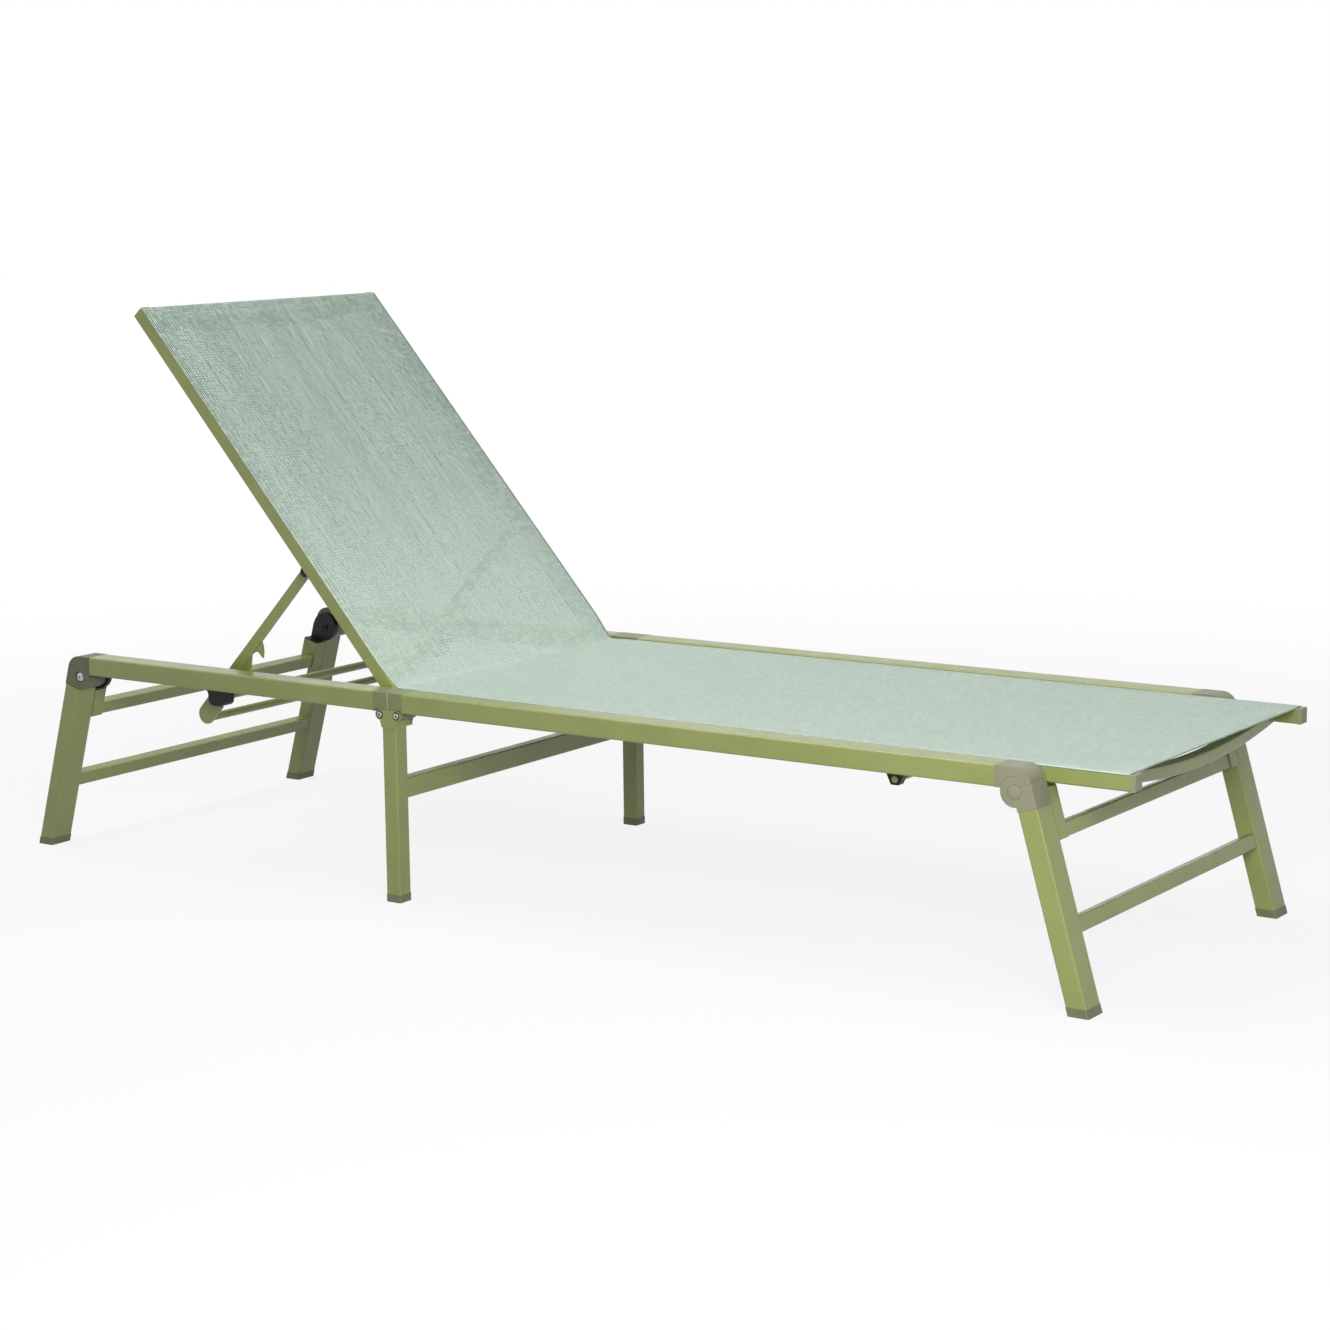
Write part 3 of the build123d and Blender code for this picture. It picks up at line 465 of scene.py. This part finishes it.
@dataclass(frozen=True)
class Ground:
    """A white studio floor that keeps a soft shadow and fades into the white room."""

    name: str = "studio_floor"
    paper: float = 0.88
    bounce: float = 0.32
    lift: float = 0.86
    near: float = 1.1
    far: float = 3.4

    def make(self) -> bpy.types.Material:
        """Give the finished material."""
        bench = Bench(self.name)
        shown = bench.node("ShaderNodeBsdfDiffuse", {}, {"Color": (self.paper, self.paper, self.paper, 1.0)})
        lit = bench.node("ShaderNodeBsdfDiffuse", {}, {"Color": (self.bounce, self.bounce, self.bounce, 1.0)})
        bright = bench.node("ShaderNodeEmission", {}, {"Color": (1.0, 1.0, 1.0, 1.0), "Strength": 1.0})
        reach = bench.node("ShaderNodeVectorMath", {"operation": "LENGTH"}, {0: bench.place()}, 1)
        share = reach.fade(self.near, self.far, self.lift, 1.0)
        paper = bench.node("ShaderNodeMixShader", {}, {0: share, 1: shown, 2: bright})
        seen = bench.node("ShaderNodeLightPath", output="Is Camera Ray")
        glossy = bench.node("ShaderNodeLightPath", output="Is Glossy Ray")
        through = bench.node("ShaderNodeLightPath", output="Is Transmission Ray")
        either = seen.larger(glossy.larger(through))
        bench.node_output(bench.node("ShaderNodeMixShader", {}, {0: either, 1: lit, 2: paper}))
        return bench.material


class Wardrobe:
    """Every finish of the lounger, made once."""

    def __init__(self) -> None:
        """Make the finishes."""
        self.paint = PowderCoat("sage_powder_coat", "969f58", "8e9851").make()
        self.plastic = Moulded("taupe_nylon", "93937a", "8a8a70").make()
        self.hinge = Moulded("olive_nylon", "8a9166", "81885f").make()
        # Pale colour painted on the seam strips of the hinge blocks as a highlight, not wear.
        self.edge = Moulded("highlight_olive_nylon", "c6cab2", "b9bda4", 0.3).make()
        self.corner = Moulded("deep_olive_nylon", "666e50", "5d6547").make()
        self.foot = Moulded("dark_olive_nylon", "7c7f62", "727558", 0.5).make()
        self.black = Moulded("black_nylon", "0b0d0c", "070908", 0.42, sheen=0.28).make()
        self.steel = Plated("bright_steel", "d2d6cf").make()
        self.cloth = MeshCloth("mint_mesh").make()
        self.cloth_under = MeshCloth("mint_mesh_under", open_across=0.66, open_along=0.86).make()
        self.thread = Moulded("mint_thread", "cfe0d4", "bcd2c6", 0.6, 0.0004).make()
        self.floor = Ground().make()


class Shape:
    """A mesh under construction."""

    def __init__(self) -> None:
        """Start empty."""
        self.bm = bmesh.new()

    def lathe(self, profile: Sequence[tuple[float, float]], steps: int = 48) -> "Shape":
        """Turn a profile about the Z axis.

        Args:
            profile: points of radius and height, in metres.
            steps: how many steps make the full turn.

        Returns:
            This shape.
        """
        verts = [self.bm.verts.new((radius, 0.0, height)) for radius, height in profile]
        edges = [self.bm.edges.new(pair) for pair in zip(verts, verts[1:])]
        bmesh.ops.spin(
            self.bm,
            geom=verts + edges,
            cent=(0, 0, 0),
            axis=(0, 0, 1),
            angle=math.tau,
            steps=steps,
            use_merge=True,
        )
        return self

    def socket(self, across: float, outer: float, depth: float, top: float) -> "Shape":
        """Sink a hexagonal socket in a flat ring.

        Args:
            across: the socket's corner radius.
            outer: the radius that the flat ring reaches.
            depth: how deep the socket is.
            top: the height of the flat ring.

        Returns:
            This shape.
        """
        lift = Matrix.Translation((0, 0, top))
        hexagon = bmesh.ops.create_circle(self.bm, cap_ends=False, segments=6, radius=across, matrix=lift)
        ring = bmesh.ops.create_circle(self.bm, cap_ends=False, segments=48, radius=outer, matrix=lift)
        inner = list({edge for vert in hexagon["verts"] for edge in vert.link_edges})
        rim = list({edge for vert in ring["verts"] for edge in vert.link_edges})
        bmesh.ops.bridge_loops(self.bm, edges=inner + rim)
        walls = bmesh.ops.extrude_edge_only(self.bm, edges=inner)
        floor = [item for item in walls["geom"] if isinstance(item, bmesh.types.BMVert)]
        bmesh.ops.translate(self.bm, verts=floor, vec=(0, 0, -depth))
        bmesh.ops.contextual_create(self.bm, geom=floor)
        return self

    def block(self, low: Vector, high: Vector, round_by: float) -> "Shape":
        """Add a block with bevelled edges.

        Args:
            low: its lowest corner.
            high: its highest corner.
            round_by: the bevel's width.

        Returns:
            This shape.
        """
        size = high - low
        place = Matrix.Translation((low + high) / 2) @ Matrix.Diagonal((*size, 1.0))
        made = bmesh.ops.create_cube(self.bm, size=1.0, matrix=place)
        edges = list({edge for vert in made["verts"] for edge in vert.link_edges})
        bmesh.ops.bevel(
            self.bm,
            geom=edges,
            offset=round_by,
            offset_type="OFFSET",
            segments=2,
            profile=0.5,
            affect="EDGES",
            material=-1,
        )
        return self

    def place(self, matrix: Matrix) -> "Shape":
        """Move the whole shape by a matrix."""
        bmesh.ops.transform(self.bm, matrix=matrix, verts=self.bm.verts)
        return self

    def finish(self, name: str, body: str, slot: Slot, material: bpy.types.Material) -> bpy.types.Object:
        """Make the piece and hang it on its body.

        Args:
            name: the piece's name.
            body: the body that it moves with.
            slot: the record's slot for its finish; not used.
            material: its material.

        Returns:
            The new object.
        """
        bmesh.ops.remove_doubles(self.bm, verts=self.bm.verts, dist=1e-6)
        bmesh.ops.recalc_face_normals(self.bm, faces=self.bm.faces)
        mesh = bpy.data.meshes.new(name)
        self.bm.to_mesh(mesh)
        self.bm.free()
        mesh.materials.append(material)
        for face in mesh.polygons:
            face.use_smooth = True
        mesh.set_sharp_from_angle(angle=SMOOTH_UNDER)
        piece = bpy.data.objects.new(name, mesh)
        bpy.context.scene.collection.objects.link(piece)
        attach(piece, body)
        log.info("%s rides on %s, %d faces", name, body, len(mesh.polygons))
        return piece


def outward(side: Side, x: float, z: float, reach: float = OUTER_FACE) -> Matrix:
    """Give the place of a fastener whose own Z axis points out of a side face.

    Args:
        side: the lounger's side.
        x: the place along the length.
        z: the height.
        reach: how far from the middle plane it sits.

    Returns:
        The placing matrix.
    """
    turn = Euler((math.radians(90 * (1 if side is Side.NEAR else -1)), 0, 0)).to_matrix().to_4x4()
    return Matrix.Translation((x, side.value * reach, z)) @ turn


@dataclass
class Metalwork:
    """The frame's own tubes, fittings and brackets, which keep their shape and get their finish."""

    wardrobe: Wardrobe

    def dress(self) -> None:
        """Give each shown node the finish of its record slot."""
        finishes = {
            Slot.PAINT.value: self.wardrobe.paint,
            Slot.PLASTIC.value: self.wardrobe.plastic,
            Slot.BLACK.value: self.wardrobe.black,
            Slot.SLING.value: self.wardrobe.cloth,
        }
        special = {
            "hinge_block": self.wardrobe.hinge,
            "rear_corner": self.wardrobe.corner,
            "_foot_": self.wardrobe.foot,
        }
        for part in frame["record"]["subparts"]:
            name = part["node"]
            finish = finishes[part["material_slot"]]
            for mark, other in special.items():
                if mark in name:
                    finish = other
            node = frame["nodes"][name]
            node.data.materials.clear()
            node.data.materials.append(finish)


@dataclass
class Sling:
    """The mesh sling: one sheet from the foot end, round the fold and up the backrest."""

    wardrobe: Wardrobe
    half: float = 0.287
    flat_from: float = 0.264
    foot_x: float = 0.9835
    seat_top: float = 0.3239
    rail_half: float = 0.0124
    back_top: float = 0.764
    bend: float = 0.014
    sag: float = 0.006
    neck: float = 0.006
    neck_reach: float = 0.030
    thickness: float = 0.0007
    hem: float = 0.012
    hem_short: float = 0.0015
    taut: float = 0.13
    stitch_pitch: float = 0.0052
    stitch_width: float = 0.00045
    stitch_height: float = 0.0004
    stitch_margin: float = 0.008
    roll_share: float = 0.985
    roll_drop: float = 0.0008
    bend_before: float = 0.010
    bend_after: float = 0.012

    def __post_init__(self) -> None:
        """Work out the side view's path."""
        pivot = PIVOTS["backrest_recline"]
        self.way = Vector((-math.cos(BACK_ANGLE), 0, math.sin(BACK_ANGLE)))
        self.face = Vector((math.sin(BACK_ANGLE), 0, math.cos(BACK_ANGLE)))
        start = pivot + self.face * self.rail_half
        first = (self.seat_top - start.z) / self.way.z
        self.corner = start + self.way * first
        tangent = self.bend * math.tan(BACK_ANGLE / 2)
        self.seat_len = self.foot_x - (self.corner.x + tangent)
        self.bend_len = self.bend * BACK_ANGLE
        self.back_len = self.back_top - (first + tangent)
        self.length = self.seat_len + self.bend_len + self.back_len
        self.tangent = tangent

    def path(self, s: float) -> tuple[Vector, Vector]:
        """Follow the sling's middle line in side view.

        Args:
            s: the distance along the sling from its foot edge.

        Returns:
            The point and the direction out of the sling's face.
        """
        if s <= self.seat_len:
            return Vector((self.foot_x - s, 0, self.seat_top)), Vector((0, 0, 1))
        turn = min((s - self.seat_len) / self.bend, BACK_ANGLE)
        out = Vector((math.sin(turn), 0, math.cos(turn)))
        centre = Vector((self.corner.x + self.tangent, 0, self.seat_top + self.bend))
        point = centre - out * self.bend
        rest = s - self.seat_len - self.bend_len
        return point + self.way * max(rest, 0.0), out

    def surface(self, x: float, s: float) -> Vector:
        """Give the place of a point of the cut sheet.

        Args:
            x: its distance across from the middle.
            s: its distance from the foot edge.

        Returns:
            Its place when the sling is stretched on the frame.
        """
        point, out = self.path(s)
        fold = s - self.seat_len - self.bend_len / 2
        pinch = math.exp(-((fold / self.neck_reach) ** 2))
        width = self.half - self.neck * pinch
        across = x / self.half * width
        inner = min(abs(across) / self.flat_from, 1.0)
        held = min(s, self.length - s) / self.taut
        slack = 1.0 if held >= 1 else held * held * (3 - 2 * held)
        depth = self.sag * slack * (1 - inner * inner) * (1 - 0.55 * pinch)
        roll = max(abs(x) / self.half - self.roll_share, 0.0) / (1 - self.roll_share)
        return point + Vector((0, across, 0)) - out * (depth + self.roll_drop * roll * roll)

    def cut_grid(self, half: float, low: float, high: float, columns: int, rows: int) -> bmesh.types.BMesh:
        """Cut a flat grid of cloth and chart it.

        Args:
            half: half its width.
            low: where it starts along the sling.
            high: where it ends.
            columns: how many faces it has across.
            rows: how many faces it has along.

        Returns:
            The flat grid with its Cut map.
        """
        bm = bmesh.new()
        size = Matrix.Diagonal((half, (high - low) / 2, 1, 1))
        cut = Matrix.Translation((0, (low + high) / 2, 0)) @ size
        bmesh.ops.create_grid(bm, x_segments=columns, y_segments=rows, size=1.0, matrix=cut)
        chart = bm.loops.layers.uv.new("Cut")
        for face in bm.faces:
            for loop in face.loops:
                loop[chart].uv = loop.vert.co.xy
        return bm

    def thicken(self, name: str, bm: bmesh.types.BMesh, *cloths: bpy.types.Material) -> bpy.types.Object:
        """Make a grid of cloth an object with a thickness.

        Args:
            name: the piece's name.
            bm: the stretched grid.
            cloths: its material, and the one of its underside if that differs.

        Returns:
            The new object.
        """
        mesh = bpy.data.meshes.new(name)
        bm.to_mesh(mesh)
        bm.free()
        for cloth in cloths:
            mesh.materials.append(cloth)
        piece = bpy.data.objects.new(name, mesh)
        bpy.context.scene.collection.objects.link(piece)
        wall = piece.modifiers.new("Thickness", "SOLIDIFY")
        wall.thickness = self.thickness
        wall.offset = 0.0
        wall.material_offset = len(cloths) - 1
        return piece

    def sheet(self) -> bpy.types.Object:
        """Stretch the sheet over the rails.

        Returns:
            The sling's object.
        """
        bm = self.cut_grid(self.half, 0.0, self.length, 72, 300)
        for vert in bm.verts:
            vert.co = self.surface(vert.co.x, vert.co.y)
        bmesh.ops.recalc_face_normals(bm, faces=bm.faces)
        if sum(face.normal.z for face in bm.faces) < 0:
            bmesh.ops.reverse_faces(bm, faces=bm.faces)
        piece = self.thicken("sling_sheet", bm, self.wardrobe.cloth, self.wardrobe.cloth_under)
        for face in piece.data.polygons:
            face.use_smooth = True
        return piece

    def stitches(self, name: str, body: str, s: float) -> bpy.types.Object:
        """Sew a row of stitches across the sling.

        Args:
            name: the row's name.
            body: the body that it moves with.
            s: its distance from the foot edge.

        Returns:
            The row's object.
        """
        row = Shape()
        count = int(2 * (self.half - self.stitch_margin) / self.stitch_pitch)
        for index in range(count):
            x = (index - (count - 1) / 2) * self.stitch_pitch
            point, out = self.path(s)
            seat = self.surface(x, s) + out * (self.thickness / 2)
            side = Vector((0, 1, 0))
            turn = Matrix((side, out.cross(side), out)).transposed().to_4x4()
            size = Matrix.Diagonal((self.stitch_pitch * 0.36, self.stitch_width, self.stitch_height, 1))
            place = Matrix.Translation(seat) @ turn @ size
            bmesh.ops.create_icosphere(row.bm, subdivisions=1, radius=1.0, matrix=place)
        return row.finish(name, body, Slot.SLING, self.wardrobe.thread)

    def hem_strip(self, name: str, body: str, low: float, high: float) -> bpy.types.Object:
        """Fold the sheet's edge back under itself.

        Args:
            name: the strip's name.
            body: the body that it moves with.
            low: where it starts along the sling.
            high: where it ends.

        Returns:
            The strip's object.
        """
        bm = self.cut_grid(self.flat_from - self.hem_short, low, high, 60, 4)
        for vert in bm.verts:
            out = self.path(vert.co.y)[1]
            vert.co = self.surface(vert.co.x, vert.co.y) - out * (self.thickness * 1.5)
        piece = self.thicken(name, bm, self.wardrobe.cloth)
        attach(piece, body)
        return piece

    def build(self) -> None:
        cloth = self.sheet()
        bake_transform(cloth)
        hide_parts("seat_sling", "back_sling")
        top = self.length
        pieces = [
            self.hem_strip("foot_hem", "seat_frame", 0.0, self.hem),
            self.hem_strip("head_hem", "backrest", top - self.hem, top),
            self.stitches("foot_stitches", "seat_frame", self.hem * 0.8),
            self.stitches("head_stitches", "backrest", top - self.hem * 0.8),
        ]


@dataclass
class MiddleHinge:
    """The screws and cap nuts on the pins of the middle hinge."""

    wardrobe: Wardrobe
    head: float = 0.0046
    ring: float = 0.0064
    rise: float = 0.0013
    rim: float = 0.0012
    chamfer: float = 0.0005
    hexagon: float = 0.0019
    hexagon_depth: float = 0.0010
    # Thickness and edge of the thin black ring painted as recess shade round each screw.
    shade_ring: float = 0.0003
    shade_ring_chamfer: float = 0.0004
    nut: float = 0.0062
    nut_length: float = 0.0070
    inner_face: float = 0.288
    seam_x: float = -0.226071
    seam_low: float = 0.3004
    seam_high: float = 0.3256
    seam_gap: float = 0.00015
    edge: float = 0.0007
    edge_rise: float = 0.00025

    def screw(self, side: Side, name: str, pivot: Vector) -> None:
        """Put a countersunk socket screw in a thin black ring, painted as the shade in the recess around it.

        Args:
            side: the lounger's side.
            name: which pin it is.
            pivot: the pin's place.
        """
        place = outward(side, pivot.x, pivot.z)
        # Painted shade: a thin black ring stands in for the shadow in the recess around the screw head.
        low, high = self.shade_ring, self.shade_ring * 2
        inner = self.ring - self.shade_ring_chamfer
        shade_ring = [(0.0, 0.0), (self.ring, 0.0), (self.ring, low), (inner, high), (0.0, high)]
        Shape().lathe(shade_ring).place(place).finish(
            f"{name}_washer_{side.name.lower()}", "mid_legs", Slot.BLACK, self.wardrobe.black
        )
        rim = self.head - self.rim
        wall = [(self.head, 0.0), (self.head, self.rise - self.chamfer)]
        face = [(rim + self.chamfer, self.rise), (rim, self.rise)]
        shape = Shape().lathe(wall + face).socket(self.hexagon, rim, self.hexagon_depth, self.rise)
        shape.place(place).finish(
            f"{name}_screw_{side.name.lower()}", "mid_legs", Slot.PAINT, self.wardrobe.steel
        )

    def cap_nut(self, side: Side, name: str, pivot: Vector) -> None:
        """Put a black cap nut on a pin's inner end.

        Args:
            side: the lounger's side.
            name: which pin it is.
            pivot: the pin's place.
        """
        place = outward(Side(-side.value), pivot.x, pivot.z, -self.inner_face)
        top = self.nut_length
        dome = [
            (0.0, 0.0),
            (self.nut, 0.0),
            (self.nut, top * 0.55),
            (self.nut * 0.92, top * 0.8),
            (self.nut * 0.6, top * 0.95),
            (0.0, top),
        ]
        Shape().lathe(dome, 24).place(place).finish(
            f"{name}_cap_nut_{side.name.lower()}", "mid_legs", Slot.BLACK, self.wardrobe.black
        )

    def painted_highlight_edge(self, side: Side, end: int, body: str) -> None:
        """Lay a pale strip on the outer edge of a hinge block, where it meets the other block, as a painted
        highlight on the seam.

        Args:
            side: the lounger's side.
            end: one for the seat's block, and minus one for the head's.
            body: the body that it moves with.
        """
        xs = sorted(self.seam_x + end * shift for shift in (self.seam_gap, self.seam_gap + self.edge))
        ys = sorted(side.value * reach for reach in (OUTER_FACE - self.edge, OUTER_FACE + self.edge_rise))
        low, high = Vector((xs[0], ys[0], self.seam_low)), Vector((xs[1], ys[1], self.seam_high))
        # Painted highlight: a pale strip along the seam edge of the block.
        Shape().block(low, high, self.edge_rise * 0.8).finish(
            f"{body}_hinge_edge_{side.name.lower()}", body, Slot.PLASTIC, self.wardrobe.edge
        )

    def build(self) -> None:
        """Fit both pins and lay the pale painted highlight strips on the blocks' edges on both sides."""
        for side in Side:
            for name, joint in (("seat_pin", "frame_fold"), ("head_pin", "head_fold")):
                self.screw(side, name, PIVOTS[joint])
                self.cap_nut(side, name, PIVOTS[joint])
            self.painted_highlight_edge(side, 1, "seat_frame")
            self.painted_highlight_edge(side, -1, "head_frame")


@dataclass
class EndHinges:
    """The round buttons of the foot-end hubs and the bolts of the head-end corners."""

    wardrobe: Wardrobe
    button: float = 0.0090
    button_rise: float = 0.0009
    bolt: float = 0.0078
    bolt_seat: float = 0.3262
    bolt_rise: float = 0.0030
    bolt_hexagon: float = 0.0030
    bolt_hexagon_depth: float = 0.0020
    ear_screw: float = 0.0068
    ear_face: float = 0.2797
    ear_rise: float = 0.0024
    ear_hexagon: float = 0.0028
    ear_hexagon_depth: float = 0.0018

    def build(self) -> None:
        """Fit both ends on both sides."""
        for side in Side:
            hub = PIVOTS["front_leg_fold"]
            dome = [
                (self.button, -0.0002),
                (self.button, self.button_rise * 0.3),
                (self.button * 0.93, self.button_rise * 0.7),
                (self.button * 0.6, self.button_rise * 0.95),
                (0.0, self.button_rise),
            ]
            Shape().lathe(dome).place(outward(side, hub.x, hub.z)).finish(
                f"hub_button_{side.name.lower()}", "front_legs", Slot.PLASTIC, self.wardrobe.plastic
            )
            corner = PIVOTS["rear_leg_fold"]
            rim = self.bolt * 0.72
            head = [
                (self.bolt, 0.0),
                (self.bolt, self.bolt_rise * 0.55),
                (self.bolt * 0.9, self.bolt_rise * 0.85),
                (rim, self.bolt_rise),
            ]
            shape = Shape().lathe(head)
            shape.socket(self.bolt_hexagon, rim, self.bolt_hexagon_depth, self.bolt_rise)
            shape.place(outward(side, corner.x, corner.z, self.bolt_seat)).finish(
                f"corner_bolt_{side.name.lower()}", "rear_legs", Slot.PAINT, self.wardrobe.steel
            )
            rim = self.ear_screw * 0.7
            round_head = [
                (self.ear_screw, 0.0),
                (self.ear_screw, self.ear_rise * 0.5),
                (self.ear_screw * 0.9, self.ear_rise * 0.85),
                (rim, self.ear_rise),
            ]
            screw = Shape().lathe(round_head)
            screw.socket(self.ear_hexagon, rim, self.ear_hexagon_depth, self.ear_rise)
            screw.place(outward(Side(-side.value), corner.x, corner.z, -self.ear_face)).finish(
                f"ear_screw_{side.name.lower()}", "rear_legs", Slot.BLACK, self.wardrobe.black
            )


@dataclass
class Studio:
    """The white floor, the soft lamps and the camera."""

    wardrobe: Wardrobe
    eye: tuple[float, float, float] = (2.62913, -3.7395, 1.1195)
    yaw: float = 0.6024
    pitch: float = -0.169
    roll: float = -0.0113
    lens: float = 80.515
    sensor: float = 36.0
    floor_half: float = 40.0
    floor_drop: float = 0.0006
    fill: float = 0.16
    overhead: float = 52.0
    key: float = 58.0

    def floor(self) -> None:
        """Lay the floor."""
        bm = bmesh.new()
        bmesh.ops.create_grid(bm, x_segments=1, y_segments=1, size=self.floor_half)
        mesh = bpy.data.meshes.new("floor")
        bm.to_mesh(mesh)
        bm.free()
        mesh.materials.append(self.wardrobe.floor)
        ground = bpy.data.objects.new("floor", mesh)
        ground.location.z = -self.floor_drop
        bpy.context.scene.collection.objects.link(ground)

    def lamp(self, name: str, place: Vector, aim: Vector, size: tuple[float, float], power: float) -> None:
        """Hang a soft box.

        Args:
            name: the lamp's name.
            place: where it hangs.
            aim: what it points at.
            size: its width and height.
            power: its power in watts.
        """
        data = bpy.data.lights.new(name, "AREA")
        data.shape = "RECTANGLE"
        data.size, data.size_y = size
        data.energy = power
        lamp = bpy.data.objects.new(name, data)
        lamp.location = place
        lamp.rotation_euler = (aim - place).to_track_quat("-Z", "Y").to_euler()
        bpy.context.scene.collection.objects.link(lamp)

    def sky(self) -> None:
        """Fill the room with even light, and show it as white."""
        world = bpy.data.worlds.new("studio")
        world.use_nodes = True
        tree = world.node_tree
        tree.nodes.clear()
        path = tree.nodes.new("ShaderNodeLightPath")
        fill = tree.nodes.new("ShaderNodeBackground")
        fill.inputs["Color"].default_value = (1.0, 1.0, 1.0, 1.0)
        fill.inputs["Strength"].default_value = self.fill
        white = tree.nodes.new("ShaderNodeBackground")
        white.inputs["Color"].default_value = (1.0, 1.0, 1.0, 1.0)
        white.inputs["Strength"].default_value = 1.0
        either = tree.nodes.new("ShaderNodeMath")
        either.operation = "MAXIMUM"
        both = tree.nodes.new("ShaderNodeMath")
        both.operation = "MAXIMUM"
        tree.links.new(path.outputs["Is Glossy Ray"], both.inputs[0])
        tree.links.new(path.outputs["Is Transmission Ray"], both.inputs[1])
        tree.links.new(path.outputs["Is Camera Ray"], either.inputs[0])
        tree.links.new(both.outputs[0], either.inputs[1])
        blend = tree.nodes.new("ShaderNodeMixShader")
        tree.links.new(either.outputs[0], blend.inputs[0])
        tree.links.new(fill.outputs[0], blend.inputs[1])
        tree.links.new(white.outputs[0], blend.inputs[2])
        output = tree.nodes.new("ShaderNodeOutputWorld")
        tree.links.new(blend.outputs[0], output.inputs["Surface"])
        bpy.context.scene.world = world

    def camera(self) -> None:
        """Set the camera where the photograph was taken from."""
        cos_p, sin_p = math.cos(self.pitch), math.sin(self.pitch)
        forward = Vector((-math.sin(self.yaw) * cos_p, math.cos(self.yaw) * cos_p, sin_p))
        right = forward.cross(Vector((0, 0, 1))).normalized()
        up = right.cross(forward)
        cos_r, sin_r = math.cos(self.roll), math.sin(self.roll)
        across = right * cos_r + up * sin_r
        upward = up * cos_r - right * sin_r
        data = bpy.data.cameras.new("camera")
        data.lens = self.lens
        data.sensor_width = self.sensor
        camera = bpy.data.objects.new("camera", data)
        turn = Matrix((across, upward, -forward)).transposed().to_4x4()
        camera.matrix_world = Matrix.Translation(self.eye) @ turn
        bpy.context.scene.collection.objects.link(camera)
        bpy.context.scene.camera = camera

    def build(self) -> None:
        """Set up the whole studio."""
        bpy.context.scene.view_settings.view_transform = "Standard"
        self.floor()
        self.sky()
        self.lamp("overhead", Vector((-0.7, -0.3, 3.2)), Vector((0.1, 0, 0.3)), (2.6, 1.8), self.overhead)
        self.lamp("key", Vector((1.9, -2.2, 1.3)), Vector((0.6, 0, 0.3)), (1.4, 1.4), self.key)
        self.camera()


def main() -> None:
    """Build the lounger's pieces in order."""
    wardrobe = Wardrobe()
    Metalwork(wardrobe).dress()
    Sling(wardrobe).build()
    MiddleHinge(wardrobe).build()
    EndHinges(wardrobe).build()
    Studio(wardrobe).build()


if __name__ == "__main__":
    main()
